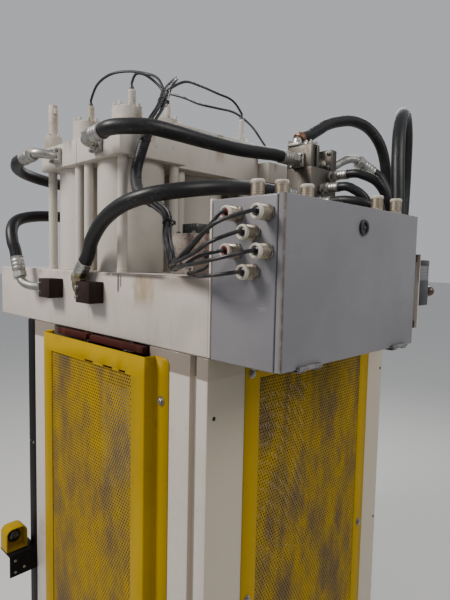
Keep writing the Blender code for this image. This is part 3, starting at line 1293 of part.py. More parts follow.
def tube(name, spots, diameter):
    shape = bpy.data.curves.new(name, "CURVE")
    shape.dimensions = "3D"
    shape.bevel_depth = diameter / 2
    shape.bevel_resolution = 1 if diameter < SMALL_HOSE_DIAMETER else 2
    shape.use_fill_caps = True
    line = shape.splines.new("POLY")
    line.points.add(len(spots) - 1)
    for point, spot in zip(line.points, spots):
        point.co = (*spot, 1.0)
    made = bpy.data.objects.new(name, shape)
    shape.materials.append(finish("black_rubber"))
    bpy.context.scene.collection.objects.link(made)


def run_tube(name, start, points, end, diameter, step_share):
    """A tube from start to end, straight as far as the first and last of its points."""
    run = smooth_route(points, diameter * step_share, before=start, after=end)
    tube(name, [start] + run + [end], diameter)


def make_hoses():
    for name, (start_name, stand_offs, end_name) in HOSE_RUNS.items():
        start, out = hose_stop(start_name)
        end, back = hose_stop(end_name)
        diameter = SMALL_HOSE_DIAMETER if name in SMALL_HOSES else HOSE_DIAMETER
        lead = diameter * HOSE_LEAD_SHARE
        points = [start + out * lead] + along_line(start, stand_offs, end) + [end + back * lead]
        run_tube(name, start + out * GAP, points, end + back * GAP, diameter, HOSE_STEP_SHARE)


# Cables: each runs from its gland to its plug, most of them by way of the tied bundle. The bundle's
# lower run keeps its stand-off from the line between the control box's back and the elbow beside
# the front right cap, and its upper run from the line between the elbow and that cap's middle. A
# cable's row gives its gland, its stand-offs before and after the bundle, its plug and the way out
# of the plug.
LOWER_BUNDLE_RUN = ((0.023, -0.076, 0.006), (-0.010, -0.038, -0.041), (-0.018, -0.006, -0.057),
                    (-0.018, 0.011, -0.046), (-0.006, 0.031, -0.019), (-0.014, 0.018, -0.018),
                    (-0.025, 0.001, -0.022))
UPPER_BUNDLE_RUN = ((0.038, -0.002, 0.042), (0.091, -0.006, 0.085), (0.105, 0.029, 0.126),
                    (0.076, 0.078, 0.179))
ELBOW_CLEARANCE = 0.026       # from the cap's right side
ELBOW_SETBACK = 0.041         # from its front
ELBOW_DROP = 0.138            # from its top
BUNDLE_PLACE_RADIUS = 0.0112
CABLE_LEAD = 0.022
CABLE_STEP_SHARE = 3.0        # of the diameter, between the curve's points
bundle_start = Vector((box_back, box_near, (box_bottom + box_top) / 2))
bundle_end = Vector((corner_offset_x, -corner_offset_y, corner_cap_top))
bundle_elbow = Vector((corner_cap_size + ELBOW_CLEARANCE, front_face + ELBOW_SETBACK,
                       corner_cap_top - ELBOW_DROP))
bundle_points = (along_line(bundle_start, LOWER_BUNDLE_RUN, bundle_elbow) + [bundle_elbow]
                 + along_line(bundle_elbow, UPPER_BUNDLE_RUN, bundle_end))
bundle_middle = smooth_route(bundle_points, CABLE_DIAMETER * CABLE_STEP_SHARE)
BUNDLED_CABLES = {
    "cable_valve": ("lower_left", [(0.000, -0.013, 0.005)],
                    [(-0.047, 0.002, 0.035), (-0.110, 0.051, 0.073), (-0.168, 0.104, 0.103),
                     (-0.189, 0.151, 0.128), (-0.182, 0.184, 0.140), (-0.148, 0.179, 0.106),
                     (-0.098, 0.129, 0.046), (-0.051, 0.062, 0.001)],
                    Vector((valve_plug_x, VALVE_PLUG_Y, valve_plug_z)), (-1, 0, 0)),
    "cable_front_right": ("lower_right", [(0.011, -0.039, -0.005), (-0.001, -0.024, -0.006)],
                          [(-0.003, 0.004, 0.027), (-0.009, -0.005, 0.047), (-0.012, -0.007, 0.045)],
                          sensor_tip("sensor_front_right"), (0, 0, 1)),
    "cable_front_left": ("middle", [(0.009, -0.034, 0.000), (0.015, -0.020, 0.000)],
                         [(0.025, 0.013, 0.039), (0.031, 0.019, 0.064), (0.023, -0.002, 0.078),
                          (0.009, -0.017, 0.077), (-0.009, -0.013, 0.057)],
                         sensor_tip("sensor_front_left"), (0, 0, 1)),
    "cable_main": ("upper_right", [(0.012, -0.047, 0.008), (0.005, -0.031, 0.002)],
                   [(0.026, 0.009, 0.031), (0.017, 0.034, 0.060), (-0.007, 0.045, 0.070),
                    (-0.015, 0.032, 0.061)],
                   sensor_tip("sensor_main"), (0, 0, 1)),
    "cable_vent": ("upper_left", [(0.001, -0.013, -0.006)],
                   [(0.005, -0.009, 0.042), (-0.014, 0.011, 0.058), (-0.025, 0.026, 0.062),
                    (-0.015, 0.032, 0.054)],
                   Vector((vent_x, vent_y, vent_tip)), (0, 0, 1)),
}
JUNCTION_CABLE_RUN = ((-0.008, -0.064, -0.014), (-0.026, -0.080, -0.024), (-0.043, -0.077, -0.028),
                      (-0.051, -0.063, -0.030), (-0.048, -0.039, -0.035), (-0.023, -0.007, -0.030),
                      (0.005, 0.008, -0.011))


def bundled(share):
    """One cable's run in the bundle, at its own share of the turn round the middle."""
    side = Vector((0, 1, 0))
    angle = 2 * math.pi * share
    spots = []
    for before, spot, after in zip(bundle_middle[:1] + bundle_middle, bundle_middle,
                                   bundle_middle[1:] + bundle_middle[-1:]):
        heading = (after - before).normalized()
        side = (side - heading * side.dot(heading)).normalized()
        stand_off = math.cos(angle) * side + math.sin(angle) * heading.cross(side)
        spots.append(spot + BUNDLE_PLACE_RADIUS * stand_off)
    return spots


def run_cable(name, gland, points, tip, out):
    mouth = gland_place(gland) - Vector((0, GLAND_LENGTH + GAP, 0))
    route = [mouth - Vector((0, CABLE_LEAD, 0))] + points + [tip + out * CABLE_LEAD]
    run_tube(name, mouth, route, tip + out * GAP, CABLE_DIAMETER, CABLE_STEP_SHARE)


def make_cables():
    places = len(BUNDLED_CABLES) + 1
    for number, (name, (gland, lead_in, rest, tip, out)) in enumerate(BUNDLED_CABLES.items()):
        mouth = gland_place(gland) - Vector((0, GLAND_LENGTH + GAP, 0))
        tied = bundled((number + 1) / places)
        points = along_line(mouth, lead_in, tied[0]) + tied + along_line(tied[-1], rest, tip)
        run_cable(name, gland, points, tip, Vector(out))
    plug = Vector((junction_high_x, junction_near + JUNCTION_SIZE / 2, crown_top + JUNCTION_HEIGHT / 2))
    mouth = gland_place("bottom") - Vector((0, GLAND_LENGTH + GAP, 0))
    points = along_line(mouth, JUNCTION_CABLE_RUN, plug)
    run_cable("cable_junction", "bottom", points, plug, Vector((1, 0, 0)))


def main():
    clear_scene()
    ram = bpy.data.objects.new("ram", None)
    ram.location = (0, 0, platen_top)
    bpy.context.scene.collection.objects.link(ram)
    make_bed()
    make_bolster()
    make_columns()
    make_crown()
    make_platen(ram)
    caps = make_cylinders(ram)
    add_hose_end(caps["front_left"], "cap_front_left")
    add_hose_end(caps["front_right"], "cap_front_right")
    make_sensors()
    make_guards()
    make_box()
    door_axis = make_door()
    make_latch(door_axis)
    make_side_switch()
    make_operator_station()
    make_port_block("port_block_left", LEFT_PORT_BLOCK_X, "port_left")
    make_port_block("port_block_right", RIGHT_PORT_BLOCK_X, "port_right")
    make_manifolds()
    make_hose_bracket()
    make_junction_block()
    make_hoses()
    make_cables()


main()
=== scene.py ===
"""Looks of the hydraulic press: hoses, paint, guards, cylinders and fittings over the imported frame."""
import json
import math

import bmesh
import bpy
from mathutils import Matrix, Vector

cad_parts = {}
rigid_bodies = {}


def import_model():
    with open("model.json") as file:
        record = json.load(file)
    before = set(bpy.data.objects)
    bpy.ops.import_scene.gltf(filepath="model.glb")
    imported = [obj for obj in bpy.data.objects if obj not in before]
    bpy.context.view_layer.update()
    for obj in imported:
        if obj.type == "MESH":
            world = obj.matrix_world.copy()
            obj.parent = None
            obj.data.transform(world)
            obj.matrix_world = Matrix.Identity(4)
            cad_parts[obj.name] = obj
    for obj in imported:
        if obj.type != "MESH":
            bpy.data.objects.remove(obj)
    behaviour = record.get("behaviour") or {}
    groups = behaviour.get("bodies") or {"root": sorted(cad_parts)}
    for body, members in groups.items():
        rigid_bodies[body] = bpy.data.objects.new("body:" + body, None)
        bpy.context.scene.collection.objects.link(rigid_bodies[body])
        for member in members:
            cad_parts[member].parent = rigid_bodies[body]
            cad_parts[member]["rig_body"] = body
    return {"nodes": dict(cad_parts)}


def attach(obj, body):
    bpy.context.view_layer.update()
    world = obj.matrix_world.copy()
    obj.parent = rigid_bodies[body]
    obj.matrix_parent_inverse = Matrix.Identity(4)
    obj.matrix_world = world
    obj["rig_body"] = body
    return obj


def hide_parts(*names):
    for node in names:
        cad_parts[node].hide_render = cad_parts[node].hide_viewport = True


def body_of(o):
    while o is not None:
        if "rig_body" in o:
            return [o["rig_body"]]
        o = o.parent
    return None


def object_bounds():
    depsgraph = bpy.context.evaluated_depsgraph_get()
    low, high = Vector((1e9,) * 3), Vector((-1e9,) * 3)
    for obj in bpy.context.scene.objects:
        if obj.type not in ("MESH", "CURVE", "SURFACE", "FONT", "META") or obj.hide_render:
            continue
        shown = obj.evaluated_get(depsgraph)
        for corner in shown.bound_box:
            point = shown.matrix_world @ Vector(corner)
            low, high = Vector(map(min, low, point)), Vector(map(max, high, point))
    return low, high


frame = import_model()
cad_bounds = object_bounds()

nodes = frame["nodes"]

# Camera: held at eye height off the press's front right corner, looking a little down along
# the diagonal, with the slight tilt of a picture taken by hand.
camera_place = Vector((1.5349, -1.2972, 1.9925))
camera_yaw = math.radians(44.82)
camera_pitch = math.radians(-4.48)
camera_roll = math.radians(1.19)
ahead = Vector((-math.sin(camera_yaw) * math.cos(camera_pitch), math.cos(camera_yaw) * math.cos(camera_pitch),
                math.sin(camera_pitch)))
across = Vector((math.cos(camera_yaw), math.sin(camera_yaw), 0))
upward = across.cross(ahead)
tilted_across = math.cos(camera_roll) * across + math.sin(camera_roll) * upward
tilted_up = -math.sin(camera_roll) * across + math.cos(camera_roll) * upward
camera = bpy.data.objects.new("camera", bpy.data.cameras.new("camera"))
camera.data.sensor_width = 36
camera.data.lens = 29.147
camera_axes = Matrix((tilted_across, tilted_up, -ahead)).transposed().to_4x4()
camera.matrix_world = Matrix.Translation(camera_place) @ camera_axes
bpy.context.scene.collection.objects.link(camera)
bpy.context.scene.camera = camera

# Floor and light: a plain pale floor under a plain pale sky, with wide soft lamps over the front,
# the right and the rear, as from the lights of a high hall.
floor_size = 60.0
floor_mesh = bpy.data.meshes.new("floor")
floor_corners = [(x * floor_size, y * floor_size, 0) for x, y in ((-1, -1), (1, -1), (1, 1), (-1, 1))]
floor_mesh.from_pydata(floor_corners, [], [(0, 1, 2, 3)])
floor = bpy.data.objects.new("floor", floor_mesh)
bpy.context.scene.collection.objects.link(floor)
floor_finish = bpy.data.materials.new("pale_floor")
floor_finish.use_nodes = True
floor_shader = floor_finish.node_tree.nodes["Principled BSDF"]
floor_shader.inputs["Base Color"].default_value = (0.62, 0.62, 0.6, 1)
floor_shader.inputs["Roughness"].default_value = 0.8
floor_mesh.materials.append(floor_finish)
sky = bpy.data.worlds.new("pale_sky")
bpy.context.scene.world = sky
sky.use_nodes = True
sky.node_tree.nodes["Background"].inputs["Color"].default_value = (0.93, 0.95, 1.0, 1)
sky.node_tree.nodes["Background"].inputs["Strength"].default_value = 0.5
LAMPS = {
    "lamp_front": ((-0.9, -3.3, 4.7), (0.1, 0.0, 1.7), 1.5, 222, (1.0, 0.95, 0.9)),
    "lamp_right": ((3.6, 0.4, 4.4), (0.3, 0.0, 1.8), 2.4, 80, (1.0, 0.97, 0.92)),
    "lamp_rear": ((-1.2, 3.6, 4.4), (0.0, 0.0, 1.6), 2.6, 80, (1.0, 0.98, 0.95)),
}
for lamp_name, (place, target, size, watts, tint) in LAMPS.items():
    light = bpy.data.lights.new(lamp_name, "AREA")
    light.shape = "DISK"
    light.size = size
    light.energy = watts
    light.color = tint
    lamp = bpy.data.objects.new(lamp_name, light)
    lamp.location = place
    lamp.rotation_euler = (Vector(target) - Vector(place)).to_track_quat("-Z", "Y").to_euler()
    bpy.context.scene.collection.objects.link(lamp)


# Hydraulic hoses: steel-braided hose with a smooth black rubber cover, 44 mm across, and 32 mm for
# the three drain lines. Each is cut to length, crimped into its fittings and springs between them.
def tree_node(tree, kind, inputs=(), **settings):
    """One node of a tree with its settings, its values and its links."""
    made = tree.nodes.new(kind)
    for name, value in settings.items():
        setattr(made, name, value)
    for socket, value in dict(inputs).items():
        if isinstance(value, bpy.types.NodeSocket):
            tree.links.new(value, made.inputs[socket])
        else:
            made.inputs[socket].default_value = value
    return made


def shader_node(tree, kind, inputs=(), **settings):
    return tree_node(tree, "ShaderNode" + kind, inputs, **settings)


def math_node(tree, operation, *values):
    return shader_node(tree, "Math", dict(enumerate(values)), operation=operation).outputs[0]


def times(tree, first, second):
    return math_node(tree, "MULTIPLY", first, second)


def mixed(tree, mask, first, second):
    """The colour first where the mask is 0 and second where it is 1."""
    first, second = ((*colour, 1) if isinstance(colour, tuple) else colour for colour in (first, second))
    return shader_node(tree, "Mix", {0: mask, 6: first, 7: second}, data_type="RGBA").outputs[2]


def ranged(tree, value, low=0.0, high=1.0, start=0.0, end=1.0, **settings):
    """A value between two levels, moved to run from start to end and held there outside them."""
    span = {"Value": value, "From Min": low, "From Max": high, "To Min": start, "To Max": end}
    return shader_node(tree, "MapRange", span, **settings).outputs[0]


def coordinates_of(tree, kind="Object"):
    return tree.nodes.new("ShaderNodeTexCoord").outputs[kind]


def apart(tree, vector):
    return shader_node(tree, "SeparateXYZ", {0: vector}).outputs


def facing_of(tree):
    """The X, Y and Z of the way that a surface faces."""
    return apart(tree, tree.nodes.new("ShaderNodeNewGeometry").outputs["Normal"])


def effect_group(name, inputs, outputs):
    """An empty node group with named float or vector inputs, and its input and output nodes."""
    group = bpy.data.node_groups.new(name, "ShaderNodeTree")
    for socket_name, value in inputs.items():
        kind = "NodeSocketVector" if value is None else "NodeSocketFloat"
        socket = group.interface.new_socket(name=socket_name, in_out="INPUT", socket_type=kind)
        if value is not None:
            socket.default_value = value
    for socket_name in outputs:
        group.interface.new_socket(name=socket_name, in_out="OUTPUT", socket_type="NodeSocketFloat")
    return group, group.nodes.new("NodeGroupInput").outputs, group.nodes.new("NodeGroupOutput")


def make_blotches():
    """Soft-edged patches: Mask rises from 0 to 1 between the two levels of a cloudy pattern."""
    group, given, result = effect_group("blotches", {"Coordinates": None, "Scale": 6.0, "Low": 0.5, "High": 0.65,
                                                     "Detail": 6.0}, ["Mask"])
    cloud = shader_node(group, "TexNoise", {"Vector": given["Coordinates"], "Scale": given["Scale"],
                                            "Detail": given["Detail"], "Roughness": 0.62})
    level = ranged(group, cloud.outputs["Fac"], given["Low"], given["High"], interpolation_type="SMOOTHSTEP")
    group.links.new(level, result.inputs["Mask"])
    return group


def make_runs():
    """Streaks that run down from Top and fade out over Reach."""
    group, given, result = effect_group("runs", {"Coordinates": None, "Scale": 24.0, "Top": 1.95, "Reach": 0.12,
                                                 "Low": 0.56, "High": 0.68}, ["Mask"])
    parts = apart(group, given["Coordinates"])
    drawn = times(group, parts["Z"], 0.07)
    long = shader_node(group, "CombineXYZ", {"X": parts["X"], "Y": parts["Y"], "Z": drawn})
    streak = shader_node(group, "TexNoise", {"Vector": long.outputs[0], "Scale": given["Scale"], "Detail": 4.0})
    narrow = ranged(group, streak.outputs["Fac"], given["Low"], given["High"], interpolation_type="SMOOTHSTEP")
    below = math_node(group, "SUBTRACT", given["Top"], parts["Z"])
    fade = ranged(group, math_node(group, "DIVIDE", below, given["Reach"]), start=1.0, end=0.0)
    mask = times(group, narrow, fade)
    group.links.new(mask, result.inputs["Mask"])
    return group


def make_scratches():
    """Fine crossing lines where something has rubbed, kept to a few patches."""
    group, given, result = effect_group("scratches", {"Coordinates": None, "Scale": 30.0, "Width": 0.012,
                                                      "Cover": 0.58}, ["Mask"])
    bent = shader_node(group, "TexNoise", {"Vector": given["Coordinates"], "Scale": 3.0, "Detail": 2.0})
    shifted = shader_node(group, "VectorMath", {0: given["Coordinates"], 1: bent.outputs["Color"]},
                          operation="ADD")
    cells = shader_node(group, "TexVoronoi", {"Vector": shifted.outputs[0], "Scale": given["Scale"]},
                        feature="DISTANCE_TO_EDGE")
    line = math_node(group, "LESS_THAN", cells.outputs["Distance"], given["Width"])
    where = shader_node(group, "TexNoise", {"Vector": given["Coordinates"], "Scale": 7.0, "Detail": 3.0})
    patch = math_node(group, "GREATER_THAN", where.outputs["Fac"], given["Cover"])
    group.links.new(times(group, line, patch), result.inputs["Mask"])
    return group


def make_spray_grain():
    """The fine orange-peel height of sprayed paint or a moulded skin."""
    group, given, result = effect_group("spray_grain", {"Coordinates": None, "Scale": 220.0, "Waves": 14.0}, ["Height"])
    fine = shader_node(group, "TexNoise", {"Vector": given["Coordinates"], "Scale": given["Scale"],
                                           "Detail": 2.0})
    broad = shader_node(group, "TexNoise", {"Vector": given["Coordinates"], "Scale": given["Waves"],
                                            "Detail": 3.0})
    share = times(group, broad.outputs["Fac"], 1.6)
    group.links.new(math_node(group, "ADD", fine.outputs["Fac"], share), result.inputs["Height"])
    return group


EFFECTS = {"blotches": make_blotches(), "runs": make_runs(), "scratches": make_scratches(),
           "spray_grain": make_spray_grain()}


def effect(tree, kind, coordinates, **values):
    """One of the shared effects, placed in a material with its own values. The first output is returned."""
    made = tree.nodes.new("ShaderNodeGroup")
    made.node_tree = EFFECTS[kind]
    tree.links.new(coordinates, made.inputs["Coordinates"])
    for name, value in values.items():
        made.inputs[name.capitalize()].default_value = value
    return made.outputs[0]


def new_finish(name, roughness, metallic=0.0, coat=0.0, coordinates="Object"):
    """A material with its shader's own values set, ready for its pattern."""
    made = bpy.data.materials.new(name)
    made.use_nodes = True
    tree = made.node_tree
    shader = tree.nodes["Principled BSDF"]
    shader.inputs["Roughness"].default_value = roughness
    shader.inputs["Metallic"].default_value = metallic
    shader.inputs["Coat Weight"].default_value = coat
    return made, tree, shader, coordinates_of(tree, coordinates)


def feed(tree, value, shader, socket):
    tree.links.new(value, shader.inputs[socket])


def bumped(tree, shader, height, strength, distance):
    bump = shader_node(tree, "Bump", {"Height": height, "Strength": strength, "Distance": distance})
    tree.links.new(bump.outputs["Normal"], shader.inputs["Normal"])


def make_hose_rubber():
    """Black cover with a faint cloth-wrap twill from its curing, dust and grey scuffs."""
    made, tree, shader, place = new_finish("hose_rubber", 0.5, coordinates="UV")
    shader.inputs["Specular IOR Level"].default_value = 0.32
    around = coordinates_of(tree)
    dust = effect(tree, "blotches", around, scale=16.0, low=0.5, high=0.8)
    scuff = effect(tree, "scratches", around, scale=26.0, width=0.014, cover=0.57)
    colour = mixed(tree, dust, (0.007, 0.007, 0.008), (0.022, 0.02, 0.02))
    feed(tree, mixed(tree, scuff, colour, (0.05, 0.046, 0.043)), shader, "Base Color")
    feed(tree, ranged(tree, dust, start=0.4, end=0.62), shader, "Roughness")
    wrap = shader_node(tree, "TexWave", {"Vector": place, "Scale": 9.0, "Distortion": 0.4}, bands_direction="DIAGONAL")
    bumped(tree, shader, wrap.outputs["Fac"], 0.1, 0.0004)
    return made


hose_rubber = make_hose_rubber()
HOSE_DIAMETER = 0.044
SMALL_HOSE_DIAMETER = 0.032
HOSE_SIDES = 24
HOSE_STEP = 0.014
HOSE_LEAD_SHARE = 0.8
BOX_CLEARANCE = 0.0002
FLANGE_THICKNESS = 0.014
NECK_LENGTH = 0.012
NUT_LENGTH = 0.024
FERRULE_LENGTH = 0.057
SMALL_SCALE = 0.74
BRACKET_TOP = 1.892
COUPLING_HEIGHT = 0.085
COUPLINGS = {
    "loop_near": (0.7849, 0.2549, 1.0),
    "drain_upper": (0.712, 0.3951, SMALL_SCALE),
    "drain_middle": (0.702, 0.3019, SMALL_SCALE),
    "drain_lower": (0.76, 0.3349, SMALL_SCALE),
    "loop_far": (0.6202, 0.6351, 1.0),
    "supply": (0.5322, 0.6351, 1.0),
    "pilot": (0.5852, 0.553, 1.0),
}
BENT_ENDS = {
    "cap_front_right": ((0.143, -0.4773, 2.353), (0, -1, 0), (0.285, -0.5463, 2.358), (1, 0, 0.06), 0.03),
    "cap_front_left": ((-0.129, -0.4773, 2.353), (0, -1, 0), (-0.25, -0.5463, 2.35), (-1, 0, -0.08), 0.025),
    "port_left": ((-0.181, -0.5033, 1.887), (-1, 0, 0), (-0.342, -0.5413, 1.995), (-0.3, -0.04, 0.9), 0.039),
    "port_right": ((0.091, -0.5033, 1.887), (-1, 0, 0), (0.112, -0.5053, 1.985), (0.64, 0, 0.768), 0.0187),
    "manifold_back": ((0.45, 0.325, 2.364), (0, 1, 0), (0.53, 0.548, 2.37), (0.36, 0.8, -0.46), 0.055),
    "manifold_top": ((0.425, 0.18, 2.42), (0, 0, 1), (0.432, 0.32, 2.515), (0.03, 0.87, 0.5), 0.025),
}
STRAIGHT_ENDS = {
    "manifold_front": ((0.45, 0.16, 2.3635), (0, -1, 0), 1.0),
    "manifold_low_front": ((0.47, 0.16, 2.2351), (0, -1, 0), 1.0),
    "manifold_side_upper": ((0.505, 0.277, 2.3182), (1, 0, 0), SMALL_SCALE),
    "manifold_side_middle": ((0.505, 0.222, 2.2659), (1, 0, 0), SMALL_SCALE),
    "manifold_side_lower": ((0.505, 0.178, 2.2117), (1, 0, 0), SMALL_SCALE),
    "left_manifold_upper": ((-0.42, 0.165, 2.2897), (0, -1, 0), 1.0),
    "left_manifold_lower": ((-0.42, 0.165, 2.16), (0, -1, 0), 1.0),
}
HOSE_RUNS = {
    "hose_cap_right": ("cap_front_right", [
        (0.3536, -0.5277, 2.3618), (0.4041, -0.4741, 2.3626), (0.4257, -0.3955, 2.3574),
        (0.4343, -0.2798, 2.3531), (0.4409, -0.1502, 2.3529), (0.4484, -0.0296, 2.3597),
    ], "manifold_front"),
    "hose_port_right": ("port_right", [
        (0.1738, -0.5163, 2.0538), (0.2496, -0.5242, 2.1066), (0.3453, -0.5242, 2.1454),
        (0.4301, -0.5002, 2.1681), (0.4919, -0.4401, 2.1839), (0.5197, -0.3501, 2.1997),
        (0.5205, -0.2301, 2.2155), (0.4922, -0.08, 2.2283),
    ], "manifold_low_front"),
    "hose_port_left": ("port_left", [
        (-0.3618, -0.5464, 2.0476), (-0.3895, -0.5395, 2.0982), (-0.4213, -0.5086, 2.1359),
        (-0.441, -0.4496, 2.1575), (-0.4487, -0.3597, 2.1681), (-0.4465, -0.2198, 2.1677),
        (-0.4302, -0.0699, 2.1624),
    ], "left_manifold_lower"),
    "hose_cap_left": ("cap_front_left", [
        (-0.3123, -0.5458, 2.3435), (-0.3725, -0.5212, 2.3329), (-0.4178, -0.4677, 2.3224),
        (-0.441, -0.3901, 2.3119), (-0.4482, -0.2906, 2.3023), (-0.4425, -0.1701, 2.2958),
        (-0.4277, -0.0505, 2.2903),
    ], "left_manifold_upper"),
    "hose_arch": ("manifold_top", [
        (0.4395, 0.4154, 2.5577), (0.458, 0.5098, 2.5775), (0.4856, 0.5921, 2.5573),
        (0.5121, 0.6495, 2.49), (0.5266, 0.6749, 2.3848), (0.5301, 0.6723, 2.2595),
        (0.5317, 0.6497, 2.1202),
    ], "supply"),
    "hose_loop": ("loop_near", [
        (0.7862, 0.2596, 2.105), (0.7804, 0.2703, 2.215), (0.7677, 0.285, 2.325),
        (0.749, 0.3216, 2.43), (0.7223, 0.3853, 2.51), (0.6915, 0.468, 2.553),
        (0.6618, 0.5547, 2.552), (0.6361, 0.6254, 2.498), (0.6194, 0.664, 2.405),
        (0.6126, 0.6777, 2.29), (0.6159, 0.6604, 2.13),
    ], "loop_far"),
    "hose_pilot": ("manifold_back", [
        (0.556, 0.588, 2.3304), (0.5801, 0.606, 2.2648), (0.5881, 0.597, 2.1802),
        (0.5862, 0.572, 2.0846),
    ], "pilot"),
    "hose_drain_upper": ("manifold_side_upper", [
        (0.6347, 0.2846, 2.312), (0.6813, 0.3142, 2.2827), (0.7039, 0.3559, 2.2155),
        (0.7114, 0.3855, 2.1102),
    ], "drain_upper"),
    "hose_drain_middle": ("manifold_side_middle", [
        (0.6277, 0.228, 2.2591), (0.6683, 0.248, 2.2253), (0.6918, 0.2769, 2.1546),
        (0.7014, 0.2959, 2.0748),
    ], "drain_middle"),
    "hose_drain_lower": ("manifold_side_lower", [
        (0.6405, 0.1781, 2.2106), (0.6958, 0.1993, 2.1995), (0.7351, 0.2444, 2.1704),
        (0.7554, 0.2946, 2.1102), (0.7597, 0.3247, 2.0451),
    ], "drain_lower"),
}


def bent_end(start, out, end, towards, pull):
    """A fitting's middle line from its port to the ferrule's mouth, with one smooth bend."""
    start, out, end, towards = (Vector(v) for v in (start, out, end, towards))
    out, towards = out.normalized(), towards.normalized()
    lift = start + out * FLANGE_THICKNESS
    landing = end - towards * (NUT_LENGTH + FERRULE_LENGTH)
    a, b, c, d = lift, lift + out * pull, landing - towards * pull, landing
    bend = [(1 - t) ** 3 * a + 3 * (1 - t) ** 2 * t * b + 3 * (1 - t) * t ** 2 * c + t ** 3 * d
            for t in (step / 16 for step in range(17))]
    return [start] + bend + [end]


def straight_end(start, out, scale):
    start, out = Vector(start), Vector(out)
    spots = [start]
    for length in (FLANGE_THICKNESS, NECK_LENGTH, NUT_LENGTH + FERRULE_LENGTH):
        spots.append(spots[-1] + out * length * scale)
    return spots


end_routes = {name: bent_end(*row) for name, row in BENT_ENDS.items()}
end_routes.update({name: straight_end(*row) for name, row in STRAIGHT_ENDS.items()})


def length_of(path):
    return sum((b - a).length for a, b in zip(path, path[1:]))


def smooth_route(points, spacing, before=None, after=None):
    """Evenly spaced points on the smooth curve through the chosen ones."""
    chosen = [Vector(p) for p in points]
    ends = [before or 2 * chosen[0] - chosen[1]] + chosen + [after or 2 * chosen[-1] - chosen[-2]]
    fine = []
    for o, a, b, c in zip(ends, ends[1:], ends[2:], ends[3:]):
        for step in range(24):
            t = step / 24
            fine.append(0.5 * (2 * a + (b - o) * t + (2 * o - 5 * a + 4 * b - c) * t ** 2
                               + (3 * a - o - 3 * b + c) * t ** 3))
    fine.append(chosen[-1])
    whole = length_of(fine)
    count = max(2, round(whole / spacing))
    return [point_along(fine, whole * i / count)[0] for i in range(count + 1)]


def point_along(path, distance):
    """The point at a distance along a path, and the heading there."""
    left = distance
    for a, b in zip(path, path[1:]):
        step = (b - a).length
        if left <= step or b is path[-1]:
            return a.lerp(b, min(1.0, left / step)), (b - a).normalized()
        left -= step


def sweep(work, path, stations, sides, turn=0.0, closed=True):
    """Adds a round skin along a path, from (distance, radius) stations, with a UV map in metres."""
    layer = work.loops.layers.uv.verify()
    rings, side = [], None
    for distance, radius in stations:
        centre, heading = point_along(path, distance)
        back = point_along(path, max(0.0, distance - 0.002))[1]
        heading = (heading + back).normalized()
        side = side or heading.orthogonal().normalized()
        side = (side - heading * side.dot(heading)).normalized()
        other = heading.cross(side)
        turns = [turn + 2 * math.pi * i / sides for i in range(sides)]
        rings.append([work.verts.new(centre + radius * (math.cos(a) * side + math.sin(a) * other)) for a in turns])
    for row, (lower, upper) in enumerate(zip(rings, rings[1:])):
        for i in range(sides):
            j = (i + 1) % sides
            face = work.faces.new((lower[i], lower[j], upper[j], upper[i]))
            low, high = stations[row][0], stations[row + 1][0]
            for loop, uv in zip(face.loops, ((i, low), (i + 1, low), (i + 1, high), (i, high))):
                loop[layer].uv = (uv[0] / sides, uv[1])
    if closed:
        work.faces.new(list(reversed(rings[0])))
        work.faces.new(rings[-1])
    return rings


def new_piece(name, work, finish, slot, body="frame", stands_for=(), sharp=35, recalculated=True):
    """A finished piece from a bmesh: its material, its body and the nodes it replaces. The record's slot is not used.
    """
    if recalculated:
        bmesh.ops.recalc_face_normals(work, faces=work.faces)
    mesh = bpy.data.meshes.new(name)
    work.to_mesh(mesh)
    work.free()
    mesh.shade_smooth()
    mesh.set_sharp_from_angle(angle=math.radians(sharp))
    mesh.materials.append(finish)
    piece = bpy.data.objects.new(name, mesh)
    bpy.context.scene.collection.objects.link(piece)
    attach(piece, body)
    if stands_for:
        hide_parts(*stands_for)
    return piece


def hose_stop(name):
    """Where a hose meets a fitting, and the direction out of it."""
    if name in COUPLINGS:
        x, y, scale = COUPLINGS[name]
        return Vector((x, y, BRACKET_TOP + COUPLING_HEIGHT)), Vector((0, 0, 1))
    route = end_routes[name]
    return route[-1], (route[-1] - route[-2]).normalized()


def kept_in_box(path, radius):
    """The same run with its points moved, where they have to, so that a hose on them stays in the part's box."""
    low, high = (Vector(corner) for corner in cad_bounds)
    return [Vector([min(max(p[i], low[i] + radius), high[i] - radius) for i in range(3)]) for p in path]


def add_cord(node, ending, first, middle, last, diameter, lead, step, sides, finish):
    """A node's hose or cable from one mouth and its direction to another, straight over the lead at both ends."""
    (start, out), (end, back) = first, last
    chosen = [start, start + out * lead] + [Vector(p) for p in middle] + [end + back * lead, end]
    path = smooth_route(chosen, step, before=start - out * lead, after=end - back * lead)
    path = kept_in_box(path, diameter / 2 + BOX_CLEARANCE)
    whole = length_of(path)
    count = round(whole / step)
    work = bmesh.new()
    sweep(work, path, [(whole * i / count, diameter / 2) for i in range(count + 1)], sides)
    new_piece(node + ending, work, finish, "black_rubber", stands_for=(node,))


for hose_name, (first_end, middle, last_end) in HOSE_RUNS.items():
    diameter = SMALL_HOSE_DIAMETER if "drain" in hose_name else HOSE_DIAMETER
    add_cord(hose_name, "_cover", hose_stop(first_end), middle, hose_stop(last_end), diameter,
             diameter * HOSE_LEAD_SHARE, HOSE_STEP, HOSE_SIDES, hose_rubber)


